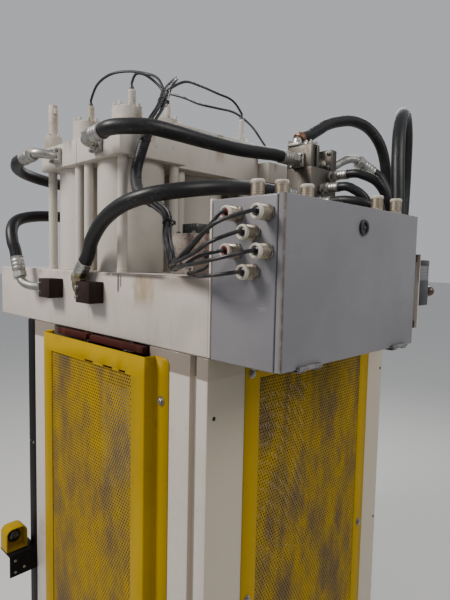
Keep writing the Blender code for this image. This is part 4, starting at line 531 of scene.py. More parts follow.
# Sensor and valve cables: thin grey-black round cables, clamped in the box's glands, tied in one
# bundle up beside the front cylinder, then spread over the caps to their plugs.
def make_dusty_black(name, roughness, clean, dusty, dust, grain, coat=0.0, specular=0.5, duller=None):
    """Black rubber or plastic with a fine moulded grain, under dust in soft patches that may dull it too."""
    made, tree, shader, place = new_finish(name, roughness, coat=coat)
    shader.inputs["Specular IOR Level"].default_value = specular
    dust_scale, low, high = dust
    patches = effect(tree, "blotches", place, scale=dust_scale, low=low, high=high)
    feed(tree, mixed(tree, patches, clean, dusty), shader, "Base Color")
    if duller:
        feed(tree, ranged(tree, patches, start=duller[0], end=duller[1]), shader, "Roughness")
    grain_scale, waves, strength, depth = grain
    bumped(tree, shader, effect(tree, "spray_grain", place, scale=grain_scale, waves=waves), strength, depth)
    return made


cable_jacket = make_dusty_black("cable_jacket", 0.42, (0.01, 0.01, 0.012), (0.04, 0.038, 0.039), (30.0, 0.42, 0.7),
                                (600.0, 60.0, 0.08, 0.0003), specular=0.35, duller=(0.36, 0.6))
CABLE_DIAMETER = 0.009
CABLE_LEAD = 0.012
CABLE_STEP = 0.01
CABLE_SIDES = 10
BUNDLE_PLACE_RADIUS = 0.0112
BUNDLE_RUN = [
    (0.6405, -0.5479, 1.9907), (0.5607, -0.5048, 1.9824), (0.5059, -0.4676, 2.0051),
    (0.4592, -0.4455, 2.0547), (0.4244, -0.4204, 2.1204), (0.3696, -0.4282, 2.1601),
    (0.3118, -0.4401, 2.1948), (0.29, -0.436, 2.2555), (0.2964, -0.4198, 2.3251),
    (0.3178, -0.4056, 2.3957), (0.3002, -0.3524, 2.4643), (0.2396, -0.2852, 2.5449),
]
CABLES = {
    "cable_valve": ((0.7569, -0.5223, 2.017), 1, [
        (0.7006, -0.5456, 2.0042),
    ], [
        (0.1999, -0.2263, 2.556), (0.1501, -0.125, 2.5785), (0.1052, -0.0198, 2.593),
        (0.0973, 0.0795, 2.6025), (0.1175, 0.1648, 2.599), (0.1646, 0.2121, 2.5495),
        (0.2277, 0.2144, 2.474), (0.2879, 0.1997, 2.4135),
    ], (0.352, 0.19, 2.397), (-1, 0, 0)),
    "cable_front_right": ((0.8486, -0.5223, 2.017), 2, [
        (0.7898, -0.5715, 1.9999), (0.708, -0.5667, 1.9868),
    ], [
        (0.2026, -0.2997, 2.575), (0.172, -0.3225, 2.6016), (0.1445, -0.3382, 2.6062),
    ], (0.132, -0.345, 2.5678), (0, 0, 1)),
    "cable_front_left": ((0.8089, -0.5223, 2.0581), 3, [
        (0.76, -0.5681, 2.0354), (0.7082, -0.566, 2.0127),
    ], [
        (0.1996, -0.29, 2.5918), (0.1443, -0.2924, 2.6198), (0.075, -0.3218, 2.6368),
        (-0.0004, -0.3452, 2.6388), (-0.0797, -0.3496, 2.6218),
    ], (-0.132, -0.345, 2.5678), (0, 0, 1)),
    "cable_main": ((0.8486, -0.5223, 2.1008), 4, [
        (0.7899, -0.5795, 2.0752), (0.7123, -0.5737, 2.0356),
    ], [
        (0.2151, -0.2352, 2.5977), (0.1499, -0.1647, 2.6401), (0.0696, -0.1081, 2.6635),
        (0.0053, -0.0756, 2.6679),
    ], (-0.036, -0.062, 2.6203), (0, 0, 1)),
    "cable_vent": ((0.7569, -0.5223, 2.102), 5, [
        (0.7003, -0.5456, 2.0453),
    ], [
        (0.2393, -0.2047, 2.5944), (0.2055, -0.1, 2.6143), (0.1796, -0.0004, 2.6223),
        (0.1748, 0.0903, 2.6183),
    ], (0.175, 0.143, 2.5683), (0, 0, 1)),
    "cable_junction": ((0.8107, -0.5223, 1.9711), None, [
        (0.7601, -0.5599, 1.9625), (0.6995, -0.5495, 1.9578), (0.64, -0.5201, 1.9592),
        (0.5894, -0.4796, 1.9625), (0.5498, -0.4292, 1.9629), (0.5322, -0.3708, 1.9733),
        (0.5176, -0.3294, 1.9976),
    ], [], (0.47, -0.311, 2.014), (1, 0, 0)),
}
bundle_middle = smooth_route(BUNDLE_RUN, CABLE_DIAMETER * 3)


def bundled(place_number):
    """One cable's run in the bundle, at its own place round the middle."""
    side = Vector((0, 1, 0))
    angle = 2 * math.pi * place_number / 6
    spots = []
    for before, spot, after in zip(bundle_middle[:1] + bundle_middle, bundle_middle,
                                   bundle_middle[1:] + bundle_middle[-1:]):
        heading = (after - before).normalized()
        side = (side - heading * side.dot(heading)).normalized()
        spots.append(spot + BUNDLE_PLACE_RADIUS * (math.cos(angle) * side + math.sin(angle) * heading.cross(side)))
    return spots


for cable_name, (mouth, place_number, lead_in, rest, tip, out) in CABLES.items():
    tied = [] if place_number is None else bundled(place_number)
    add_cord(cable_name, "_jacket", (Vector(mouth), Vector((0, -1, 0))), lead_in + tied + rest,
             (Vector(tip), Vector(out)), CABLE_DIAMETER, CABLE_LEAD, CABLE_STEP, CABLE_SIDES, cable_jacket)


# Bundle sleeve and ties: a corrugated black sleeve holds the cables together where they climb past
# the front cylinder's cap, and nylon ties hold the strands below and above it.
def turn_up(work, profile, sides, spot=(0, 0, 0), along=(0, 0, 1), turn=0.0, ring=False):
    """Adds a turned form from (radius, height) pairs, standing at a spot along a direction."""
    matrix = Matrix.Translation(spot) @ Vector((0, 0, 1)).rotation_difference(Vector(along)).to_matrix().to_4x4()
    rings = []
    for radius, height in profile:
        angles = [turn + 2 * math.pi * i / sides for i in range(sides if radius else 1)]
        rings.append([work.verts.new(matrix @ Vector((radius * math.cos(a), radius * math.sin(a), height)))
                      for a in angles])
    pairs = list(zip(rings, rings[1:])) + ([(rings[-1], rings[0])] if ring else [])
    for lower, upper in pairs:
        for i in range(sides):
            j = (i + 1) % sides
            corners = [lower[i % len(lower)], lower[j % len(lower)], upper[j % len(upper)], upper[i % len(upper)]]
            corners = list(dict.fromkeys(corners))
            if len(corners) > 2:
                work.faces.new(corners)


def add_block(work, low, high, edge=0.0, segments=2, matrix=None):
    """Adds a block between two corners, with its edges rounded."""
    made = bmesh.ops.create_cube(work, size=1.0)["verts"]
    bmesh.ops.scale(work, vec=[b - a for a, b in zip(low, high)], verts=made)
    bmesh.ops.translate(work, vec=[(a + b) / 2 for a, b in zip(low, high)], verts=made)
    if edge:
        edges = list({e for v in made for e in v.link_edges})
        made = bmesh.ops.bevel(work, geom=edges, offset=edge, segments=segments, profile=0.5, affect="EDGES")["verts"]
    if matrix:
        bmesh.ops.transform(work, matrix=matrix, verts=made)


def blocks_piece(name, blocks, *looks, **given):
    """A piece of blocks alone, each by its two corners, its edge's radius and the steps in that."""
    work = bmesh.new()
    for block in blocks:
        add_block(work, *block)
    new_piece(name, work, *looks, **given)


nylon_tie = make_dusty_black("nylon_tie", 0.38, (0.01, 0.01, 0.011), (0.04, 0.038, 0.036), (60.0, 0.4, 0.7),
                             (700.0, 90.0, 0.05, 0.0002))
SLEEVE_RADIUS = 0.0172
SLEEVE_RIDGE = 0.0008
SLEEVE_PITCH = 0.006
SLEEVE_SPAN = (0.44, 0.745)
TIE_WIDTH = 0.0055
TIE_RADIUS = 0.0182
TIE_SHARES = (0.1, 0.33, 0.47, 0.71, 0.9)
bundle_length = length_of(bundle_middle)
sleeve_start, sleeve_end = (bundle_length * share for share in SLEEVE_SPAN)
sleeve_path = [point_along(bundle_middle, sleeve_start + (sleeve_end - sleeve_start) * i / 30)[0] for i in range(31)]
sleeve_length = length_of(sleeve_path)
stations = []
for row in range(int(sleeve_length / SLEEVE_PITCH)):
    stations += [(row * SLEEVE_PITCH, SLEEVE_RADIUS - SLEEVE_RIDGE)]
    stations += [(row * SLEEVE_PITCH + SLEEVE_PITCH * share, SLEEVE_RADIUS) for share in (0.35, 0.65)]
work = bmesh.new()
sweep(work, sleeve_path, stations, 24)
new_piece("bundle_sleeve", work, cable_jacket, "black_rubber", sharp=70)
work = bmesh.new()
for share in TIE_SHARES:
    spot, heading = point_along(bundle_middle, bundle_length * share)
    reach = TIE_RADIUS + (0.0006 if SLEEVE_SPAN[0] < share < SLEEVE_SPAN[1] else -0.0012)
    turn_up(work, [(reach - 0.002, -TIE_WIDTH / 2), (reach, -TIE_WIDTH / 2), (reach, TIE_WIDTH / 2),
                   (reach - 0.002, TIE_WIDTH / 2)], 28, spot, heading, ring=True)
    side = heading.cross(Vector((0, 0, 1))).normalized()
    out = side.cross(heading)
    head = Matrix.Translation(spot + side * (reach + 0.001)) @ Matrix((side, out, heading)).transposed().to_4x4()
    add_block(work, (-0.003, -0.004, -0.0045), (0.0035, 0.004, 0.0045), 0.0008, 1, head)
    add_block(work, (-0.001, 0.003, -0.0022), (0.0002, 0.013, 0.0022), 0.0, 1, head)
new_piece("bundle_ties", work, nylon_tie, "black_plastic")


# Bed, columns and crown: thick flame-cut steel plate, welded and machined, then rolled and sprayed
# in a cream enamel that has gone chalky, with oil stains and a little rust along the crown's top.
def make_paint(name, clean, dull, stain, rust, roughness, top=1.955, reach=0.035, grime=0.6, coat=0.12):
    """An old enamel: two near shades, stains, runs of rust below an edge, scuffs and spray grain."""
    made, tree, shader, place = new_finish(name, roughness, coat=coat)
    shader.inputs["Specular IOR Level"].default_value = 0.3
    cloud = effect(tree, "blotches", place, scale=2.4, low=0.34, high=0.72)
    dirt = effect(tree, "blotches", place, scale=8.0, detail=10.0, low=grime, high=grime + 0.2)
    specks = effect(tree, "blotches", place, scale=70.0, detail=3.0, low=0.7, high=0.76)
    trail = effect(tree, "runs", place, scale=22.0, top=top, reach=reach, low=0.5, high=0.7)
    faint = effect(tree, "runs", place, scale=9.0, top=top, reach=reach * 7, low=0.55, high=0.85)
    rub = effect(tree, "scratches", place, scale=16.0, width=0.01, cover=0.6)
    upright = ranged(tree, facing_of(tree)["Z"], 0.3, 0.8, 1.0, 0.1)
    trail, faint = times(tree, trail, upright), times(tree, faint, upright)
    colour = mixed(tree, cloud, clean, dull)
    scuffed = tuple(c * 0.55 for c in clean)
    for mask, share, layer in ((dirt, 0.75, stain), (faint, 0.35, stain), (trail, 0.85, rust), (specks, 0.6, rust),
                               (rub, 0.35, scuffed)):
        colour = mixed(tree, times(tree, mask, share), colour, layer)
    feed(tree, colour, shader, "Base Color")
    worn = math_node(tree, "MAXIMUM", dirt, trail)
    feed(tree, ranged(tree, worn, start=roughness, end=min(0.9, roughness + 0.25)), shader, "Roughness")
    grain = effect(tree, "spray_grain", place, scale=260.0, waves=16.0)
    height = math_node(tree, "SUBTRACT", grain, times(tree, specks, 0.8))
    bumped(tree, shader, height, 0.16, 0.0012)
    return made


def softened(node, width, least):
    """A merged copy of a CAD node's mesh with its long sharp edges rounded over."""
    work = bmesh.new()
    work.from_mesh(nodes[node].data)
    bmesh.ops.remove_doubles(work, verts=work.verts, dist=0.00001)
    bmesh.ops.dissolve_limit(work, angle_limit=math.radians(0.5), verts=work.verts, edges=work.edges)
    sharp = [e for e in work.edges if len(e.link_faces) == 2 and e.calc_length() > least
             and e.calc_face_angle(0) > math.radians(40)]
    bmesh.ops.bevel(work, geom=sharp, offset=width, segments=2, profile=0.5, affect="EDGES", clamp_overlap=True)
    return work


def soft_piece(name, node, width, *looks, least=0.03, **given):
    """A piece that stands for one node: its own solid with softened edges, on its own body."""
    new_piece(name, softened(node, width, least), *looks, body=body_of(nodes[node])[0], stands_for=(node,), **given)


def dulled(material, level):
    """Turns down how much a finished paint mirrors its surroundings."""
    material.node_tree.nodes["Principled BSDF"].inputs["Specular IOR Level"].default_value = level


def overlaid(material, mask, colour, share=1.0):
    """Lays one more colour over a finished paint where a mask says."""
    tree = material.node_tree
    shader = tree.nodes["Principled BSDF"]
    under = shader.inputs["Base Color"].links[0].from_socket
    feed(tree, mixed(tree, times(tree, mask, share), under, colour), shader, "Base Color")


def in_band(tree, value, low, high, blur):
    """1 between two levels of a coordinate, fading to 0 over the blur outside them."""
    rise, fall = ranged(tree, value, low - blur, low), ranged(tree, value, high, high + blur, 1.0, 0.0)
    return times(tree, rise, fall)


def stain_and_shade_patch(material, x_band, z_band, colour, share, scale, level, y_band=(-0.6, -0.47)):
    """One stain or patch of painted shade on a front face: a soft rectangle of the face, broken up by a drawn-out
    cloud.
    """
    tree = material.node_tree
    place = coordinates_of(tree)
    parts = apart(tree, place)
    inside = times(tree, in_band(tree, parts["X"], *x_band), in_band(tree, parts["Z"], *z_band))
    inside = times(tree, inside, in_band(tree, parts["Y"], *y_band, 0.001))
    drawn = shader_node(tree, "Mapping", {"Vector": place, "Scale": (1.0, 1.0, 0.35)}).outputs[0]
    broken = effect(tree, "blotches", drawn, scale=scale, detail=8.0, low=level, high=level + 0.14)
    overlaid(material, times(tree, inside, broken), colour, share)


CREAM_SHADES = ((0.5, 0.45, 0.405), (0.44, 0.4, 0.355), (0.26, 0.215, 0.15), (0.13, 0.07, 0.035))
cream_paint = make_paint("cream_enamel", *CREAM_SHADES, 0.46)
column_paint = make_paint("column_enamel", *CREAM_SHADES, 0.46)
# Painted shadow: a dark band round the tops of the columns, just under the crown, stands for the shadow of the crown's
# overhang.
stain_and_shade_patch(column_paint, (-0.7, 0.7, 0.01), (1.694, 1.76, 0.004), (0.2, 0.165, 0.135), 1.0, 5.0, 0.0, (-0.6, 0.6))
column_tree = column_paint.node_tree
# Painted shade: the columns' faces turned towards +X are drawn darker and browner, as the side turned from the light.
right_face_shade = ranged(column_tree, facing_of(column_tree)["X"], 0.4, 0.9)
overlaid(column_paint, right_face_shade, (0.44, 0.375, 0.28), 0.85)
for node in ("bed", "column_front_left", "column_front_right", "column_rear_left", "column_rear_right"):
    finish = cream_paint if node == "bed" else column_paint
    soft_piece(node + "_steelwork", node, 0.0025, finish, "cream_paint")
crown_paint = make_paint("crown_enamel", *CREAM_SHADES, 0.46)
OIL, SOOT = (0.21, 0.165, 0.075), (0.035, 0.028, 0.024)
CROWN_STAINS = [
    ((0.345, 0.415, 0.04), (1.885, 1.948, 0.045), OIL, 0.6, 16.0, 0.34),
    ((0.385, 0.425, 0.02), (1.89, 1.935, 0.03), (0.3, 0.19, 0.1), 0.45, 22.0, 0.36),
    ((0.515, 0.66, 0.09), (1.935, 1.96, 0.03), (0.13, 0.085, 0.05), 0.55, 16.0, 0.34),
    ((0.2, 0.47, 0.04), (1.9455, 1.96, 0.008), SOOT, 0.85, 34.0, 0.26),
    ((0.2555, 0.2625, 0.003), (1.9, 1.944, 0.01), SOOT, 0.85, 60.0, 0.3),
    ((0.27, 0.2745, 0.003), (1.914, 1.942, 0.008), SOOT, 0.75, 60.0, 0.3),
    ((0.3, 0.66, 0.08), (1.76, 1.86, 0.03), (0.36, 0.325, 0.285), 0.45, 9.0, 0.46),
]
for stain in CROWN_STAINS:
    stain_and_shade_patch(crown_paint, *stain)
for seam_x in (-0.192, 0.0835):
    stain_and_shade_patch(crown_paint, (seam_x - 0.0007, seam_x + 0.0007, 0.0006), (1.74, 1.96, 0.01), (0.22, 0.19, 0.16), 0.8,
                3.0, 0.05)
soft_piece("crown_block", "crown", 0.0012, crown_paint, "cream_paint")


# Open tapped holes: six holes, 12 mm across, drilled and tapped in the right columns' outer faces and
# left open. Greasy inside, they are dark discs here, since the solids are closed there: painted shade for each hole's
# depth.
dark_hole = new_finish("dark_hole", 0.9)[0]
hole_tree = dark_hole.node_tree
hole_mask = effect(hole_tree, "blotches", coordinates_of(hole_tree), scale=300.0, low=0.3, high=0.8)
feed(hole_tree, mixed(hole_tree, hole_mask, (0.006, 0.005, 0.005), (0.03, 0.022, 0.017)),
     hole_tree.nodes["Principled BSDF"], "Base Color")
HOLE_RADIUS = 0.006
OPEN_HOLES = [(0.6641, -0.452, 1.592), (0.6641, -0.452, 0.92), (0.6641, -0.452, 0.26), (0.6641, 0.431, 1.599),
              (0.6641, 0.429, 1.009), (0.6641, 0.429, 0.26)]
work = bmesh.new()
for spot in OPEN_HOLES:
    turn_up(work, [(0, -0.0004), (HOLE_RADIUS, -0.0004), (HOLE_RADIUS, 0.0), (HOLE_RADIUS * 0.8, 0.0001),
                   (0, 0.0001)], 20, spot, (1, 0, 0))
new_piece("open_tapped_holes", work, dark_hole, "black_paint")


# Weld beads: where the columns meet the base plate, run by hand with a ripple and sprayed over in the
# same cream as the steel on both sides.
def add_bead(work, start, end, radius=0.005, step=0.006):
    """Adds a rippled bead from start to end, half sunk in its corner."""
    start, end = Vector(start), Vector(end)
    count = max(4, round((end - start).length / step))
    stations = []
    whole = (end - start).length
    for i in range(count + 1):
        ripple = 0.88 + 0.12 * (i % 2) + 0.05 * math.sin(i * 1.7)
        stations.append((whole * i / count, radius * ripple))
    sweep(work, [start, start.lerp(end, 0.5), end], stations, 8)


BEAD_HEIGHT = 0.0505
work = bmesh.new()
for x0, x1, y0, y1 in ((0.421, 0.6635, -0.4765, -0.277), (-0.333, -0.168, -0.4765, -0.277),
                       (0.421, 0.6635, 0.288, 0.443), (-0.333, -0.168, 0.288, 0.443)):
    corners = [(x0, y0), (x0, y1), (x1, y1)]
    for start, end in zip(corners, corners[1:]):
        add_bead(work, (*start, BEAD_HEIGHT), (*end, BEAD_HEIGHT))
    if y0 > 0:
        add_bead(work, (x0, y0, BEAD_HEIGHT), (x1, y0, BEAD_HEIGHT))
new_piece("column_weld_beads", work, cream_paint, "cream_paint", sharp=60)


# Bolster: a ground steel plate that lies on the bed, with T-slots milled in its top for the tooling's
# bolts. It is dull from handling and lightly oiled.
def make_ground_steel(name, light, dark, roughness, rust=0.1):
    """Bare machined steel: fine tool lines, a cloudy oil film, and rust in freckles."""
    made, tree, shader, place = new_finish(name, roughness, metallic=1.0)
    film = effect(tree, "blotches", place, scale=5.0, low=0.35, high=0.75)
    freckle = effect(tree, "blotches", place, scale=40.0, detail=8.0, low=0.66 - rust, high=0.74 - rust)
    drawn = shader_node(tree, "Mapping", {"Vector": place, "Scale": (6.0, 420.0, 6.0)}).outputs[0]
    lines = shader_node(tree, "TexNoise", {"Vector": drawn, "Scale": 1.0, "Detail": 2.0})
    colour = mixed(tree, film, light, dark)
    feed(tree, mixed(tree, times(tree, freckle, 0.8), colour, (0.12, 0.06, 0.03)), shader, "Base Color")
    feed(tree, ranged(tree, freckle, start=1.0, end=0.25), shader, "Metallic")
    feed(tree, ranged(tree, film, start=roughness - 0.06, end=roughness + 0.14), shader, "Roughness")
    bumped(tree, shader, lines.outputs["Fac"], 0.08, 0.0004)
    return made


ground_steel = make_ground_steel("ground_steel", (0.42, 0.41, 0.39), (0.24, 0.23, 0.22), 0.34)
soft_piece("bolster_top_plate", "bolster_plate", 0.0012, ground_steel, "bare_steel")


# Platen: a thick plate in dark red primer, hung on the five rods and moving with them. A fixed strip
# in the same primer lies above the front guard.
maroon_paint = make_paint("maroon_primer", (0.055, 0.01, 0.008), (0.036, 0.009, 0.007), (0.02, 0.012, 0.01),
                          (0.08, 0.035, 0.02), 0.62, top=1.68, reach=0.05, coat=0.0)
dulled(maroon_paint, 0.1)
soft_piece("platen_plate", "platen", 0.003, maroon_paint, "maroon_paint")
work = bmesh.new()
for low_x, high_x in ((-0.091, 0.105), (0.127, 0.418)):
    add_block(work, (low_x, -0.5, 1.7285), (high_x, -0.478, 1.748), 0.0015)
new_piece("guard_top_strip", work, maroon_paint, "maroon_paint")


# Cylinders: honed barrels with flat square caps above, each held down on the crown by four long tie
# rods. All are sprayed with the frame, in the same cream, and the caps meet in thin dark seams.
cylinder_paint = make_paint("cylinder_enamel", (0.49, 0.455, 0.405), (0.43, 0.4, 0.345), (0.27, 0.215, 0.13),
                            (0.16, 0.09, 0.045), 0.44, top=2.4, reach=0.05, grime=0.64)
SEAT_GAP = 0.0003
CROWN_TOP = 1.953
CAP_UNDERSIDE = 2.3125
CORNER_CAP_TOP = 2.3935
MAIN_CAP_TOP = 2.4645
STAND_PLACE = (-0.2305, -0.4445)
CORNERS = {"front_left": (-0.132, -0.345), "front_right": (0.132, -0.345), "rear_left": (-0.132, 0.345),
           "rear_right": (0.132, 0.345)}


def add_barrel(work, x, y, outer, inner):
    low, high = CROWN_TOP + SEAT_GAP, CAP_UNDERSIDE - SEAT_GAP
    profile = [(inner, low), (outer - 0.001, low), (outer, low + 0.001), (outer, high - 0.001), (outer - 0.001, high),
               (inner, high)]
    turn_up(work, profile, 72, (x, y, 0), ring=True)


def add_cap(work, x, y, half, top, tie_radius, tie_inset, edge):
    """A square cap with a rounded edge, its four tie rods and the collars at their feet."""
    add_block(work, (x - half, y - half, CAP_UNDERSIDE), (x + half, y + half, top), edge, 3)
    reach = half - tie_inset
    for side_x in (-1, 1):
        for side_y in (-1, 1):
            low, high = CROWN_TOP + SEAT_GAP, CAP_UNDERSIDE + 0.002
            profile = [(0, low), (tie_radius, low), (tie_radius, low + 0.012), (tie_radius - 0.0012, low + 0.0135),
                       (tie_radius - 0.0012, high), (0, high)]
            turn_up(work, profile, 28, (x + side_x * reach, y + side_y * reach, 0))


for corner, (x, y) in CORNERS.items():
    work = bmesh.new()
    add_barrel(work, x, y, 0.111, 0.1016)
    new_piece("barrel_" + corner + "_tube", work, cylinder_paint, "cream_paint", stands_for=("barrel_" + corner,))
    work = bmesh.new()
    add_cap(work, x, y, 0.131, CORNER_CAP_TOP, 0.017, 0.03, 0.0025)
    new_piece("cap_" + corner + "_block", work, cylinder_paint, "cream_paint", stands_for=("cap_" + corner,))
stand_paint = make_paint("stand_enamel", (0.46, 0.42, 0.37), (0.38, 0.34, 0.29), (0.22, 0.16, 0.1), (0.16, 0.08, 0.045),
                         0.52, top=2.558, reach=0.11, grime=0.48, coat=0.0)
work = bmesh.new()
turn_up(work, [(0, -0.002), (0.03, -0.002), (0.031, 0.0), (0.031, 0.0455), (0.0296, 0.047), (0.0186, 0.0475),
               (0.0186, 0.056), (0.0166, 0.0575), (0.0166, 0.128), (0.0168, 0.13), (0.0168, 0.146), (0.016, 0.148),
               (0.016, 0.16), (0.0148, 0.162), (0, 0.162)], 32, (*STAND_PLACE, CORNER_CAP_TOP))
add_block(work, (-0.2145, -0.4505, 2.5215), (-0.2045, -0.4385, 2.5405), 0.002, 1)
new_piece("cap_stand_post", work, stand_paint, "cream_paint")
work = bmesh.new()
add_barrel(work, 0, 0, 0.15, 0.132)
new_piece("barrel_main_tube", work, cylinder_paint, "cream_paint", stands_for=("barrel_main",))
work = bmesh.new()
add_cap(work, 0, 0, 0.211, MAIN_CAP_TOP, 0.0225, 0.04, 0.003)
new_piece("cap_main_block", work, cylinder_paint, "cream_paint", stands_for=("cap_main",))


# Piston rods: ground, hard-chromed bars, each with a bolting flange on the platen and a piston above
# that runs in its barrel.
def make_chrome():
    made, tree, shader, place = new_finish("hard_chrome", 0.1, metallic=1.0)
    film = effect(tree, "blotches", place, scale=9.0, low=0.4, high=0.75)
    feed(tree, mixed(tree, film, (0.72, 0.73, 0.74), (0.5, 0.47, 0.42)), shader, "Base Color")
    feed(tree, ranged(tree, film, start=0.07, end=0.22), shader, "Roughness")
    bumped(tree, shader, effect(tree, "scratches", place, scale=60.0, width=0.006, cover=0.62), 0.05, 0.0002)
    return made


hard_chrome = make_chrome()
PLATEN_TOP = 1.68
ROD_FLANGE_TOP = 1.6983
PISTON_LOW, PISTON_TOP = 2.2605, 2.3085
ROD_SIZES = {"main": (0, 0, 0.065, 0.095, 0.1312)}
ROD_SIZES.update({corner: (x, y, 0.03, 0.0325, 0.1008) for corner, (x, y) in CORNERS.items()})
for label, (x, y, rod_radius, flange_radius, piston_radius) in ROD_SIZES.items():
    low = PLATEN_TOP + SEAT_GAP
    profile = [(0, low), (flange_radius, low), (flange_radius, ROD_FLANGE_TOP - 0.002),
               (flange_radius - 0.002, ROD_FLANGE_TOP),
               (rod_radius, ROD_FLANGE_TOP), (rod_radius, PISTON_LOW), (piston_radius, PISTON_LOW),
               (piston_radius, PISTON_TOP), (0, PISTON_TOP)]
    work = bmesh.new()
    turn_up(work, profile, 48, (x, y, 0))
    node = "piston_rod_" + label
    new_piece(node + "_bar", work, hard_chrome, "chrome_rod", body=body_of(nodes[node])[0], stands_for=(node,))


# Bolts: hexagon bolts on plain washers, and the cap screws round the sensor bosses. They are turned
# and forged steel parts, all alike in their kind, so a tree sets one of each at every marked spot.
def geometry_node(tree, kind, inputs=(), **settings):
    return tree_node(tree, "GeometryNode" + kind, inputs, **settings)


def new_tree(name, inputs):
    """A tree with a geometry in and out, a finish and named values, with its input and output nodes."""
    tree = bpy.data.node_groups.new(name, "GeometryNodeTree")
    tree.interface.new_socket(name="Base", in_out="INPUT", socket_type="NodeSocketGeometry")
    tree.interface.new_socket(name="Finish", in_out="INPUT", socket_type="NodeSocketMaterial")
    for label, value in inputs.items():
        kind = "NodeSocketInt" if isinstance(value, int) else "NodeSocketFloat"
        tree.interface.new_socket(name=label, in_out="INPUT", socket_type=kind).default_value = value
    tree.interface.new_socket(name="Grown", in_out="OUTPUT", socket_type="NodeSocketGeometry")
    return tree, tree.nodes.new("NodeGroupInput").outputs, tree.nodes.new("NodeGroupOutput")


def finish_tree(tree, given, result, geometry):
    """Ends a tree: its instances made real, and its finish set."""
    real = geometry_node(tree, "RealizeInstances", {"Geometry": geometry}).outputs[0]
    merged = geometry_node(tree, "MergeByDistance", {"Geometry": real, "Distance": 0.00002}).outputs[0]
    painted = geometry_node(tree, "SetMaterial", {"Geometry": merged, "Material": given["Finish"]})
    tree.links.new(painted.outputs[0], result.inputs[0])


def grow(name, tree, base, finish, slot, body="frame", place=None, **values):
    """A plain mesh piece that a tree grows on a base mesh. The modifier is gone when it returns."""
    piece = bpy.data.objects.new(name, base)
    bpy.context.scene.collection.objects.link(piece)
    modifier = piece.modifiers.new("grown", "NODES")
    modifier.node_group = tree
    sockets = {item.name: item.identifier for item in tree.interface.items_tree if item.in_out == "INPUT"}
    modifier[sockets["Finish"]] = finish
    for label, value in values.items():
        modifier[sockets[label.capitalize()]] = value
    seen = piece.evaluated_get(bpy.context.evaluated_depsgraph_get())
    mesh = bpy.data.meshes.new_from_object(seen)
    piece.modifiers.remove(modifier)
    if place:
        mesh.transform(place)
    mesh.name = name
    piece.data = mesh
    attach(piece, body)
    return piece


def make_fastener_tree():
    """A washer, a head with its top edge chamfered, and a stub, at each point and along its facing."""
    sizes = {"Across": 0.01, "Height": 0.006, "Washer": 0.008, "Stub": 0.003, "Rise": 0.0, "Sides": 6}
    tree, given, result = new_tree("fastener", sizes)
    half_washer = times(tree, given["Washer"], 0.09)
    washer_height = times(tree, half_washer, 2.0)
    head_height, top_height = times(tree, given["Height"], 0.86), times(tree, given["Height"], 0.14)
    foot = math_node(tree, "ADD", washer_height, times(tree, head_height, 0.5))
    chamfer = math_node(tree, "ADD", washer_height, head_height)
    crest = math_node(tree, "ADD", washer_height, given["Height"])
    crest = math_node(tree, "ADD", crest, times(tree, given["Rise"], 0.5))
    head = {"Vertices": given["Sides"], "Radius": given["Across"], "Depth": head_height}
    top = {"Vertices": given["Sides"], "Radius Top": times(tree, given["Across"], 0.86),
           "Radius Bottom": given["Across"], "Depth": top_height}
    join = geometry_node(tree, "JoinGeometry")
    for kind, sizes, height in (
            ("MeshCylinder", {"Vertices": 20, "Radius": given["Washer"], "Depth": washer_height}, half_washer),
            ("MeshCylinder", head, foot), ("MeshCone", top, chamfer),
            ("MeshCylinder", {"Vertices": 10, "Radius": given["Stub"], "Depth": given["Rise"]}, crest)):
        shift = shader_node(tree, "CombineXYZ", {"Z": height}).outputs[0]
        solid = geometry_node(tree, kind, sizes).outputs[0]
        raised = geometry_node(tree, "Transform", {"Geometry": solid, "Translation": shift})
        tree.links.new(raised.outputs[0], join.inputs[0])
    facing = geometry_node(tree, "InputNamedAttribute", {"Name": "facing"}, data_type="FLOAT_VECTOR")
    turned = tree_node(tree, "FunctionNodeAlignRotationToVector", {"Vector": facing.outputs[0]}, axis="Z")
    placed = geometry_node(tree, "InstanceOnPoints", {"Points": given["Base"], "Instance": join.outputs[0],
                                                              "Rotation": turned.outputs[0]})
    spin = tree_node(tree, "FunctionNodeRandomValue", {"Min": 0.0, "Max": 1.05, "Seed": 7}, data_type="FLOAT")
    angle = shader_node(tree, "CombineXYZ", {"Z": spin.outputs[1]}).outputs[0]
    spun = geometry_node(tree, "RotateInstances", {"Instances": placed.outputs[0], "Rotation": angle})
    finish_tree(tree, given, result, spun.outputs[0])
    return tree


def spots_mesh(name, spots):
    """Points with the direction that each faces, as a base for the fastener tree."""
    mesh = bpy.data.meshes.new(name)
    mesh.from_pydata([tuple(place) for place, facing in spots], [], [])
    layer = mesh.attributes.new("facing", "FLOAT_VECTOR", "POINT")
    for entry, (place, facing) in zip(layer.data, spots):
        entry.vector = tuple(facing)
    return mesh


fastener = make_fastener_tree()


def set_bolts(name, spots, finish, slot, across, height, washer, stub=0.002, rise=0.0004, sides=6):
    """One bolt or screw at every marked spot, standing the way that the spot faces. The sizes are radii and heights."""
    grow(name, fastener, spots_mesh(name + "_spots", spots), finish, slot, across=across, height=height,
         washer=washer, stub=stub, rise=rise, sides=sides)


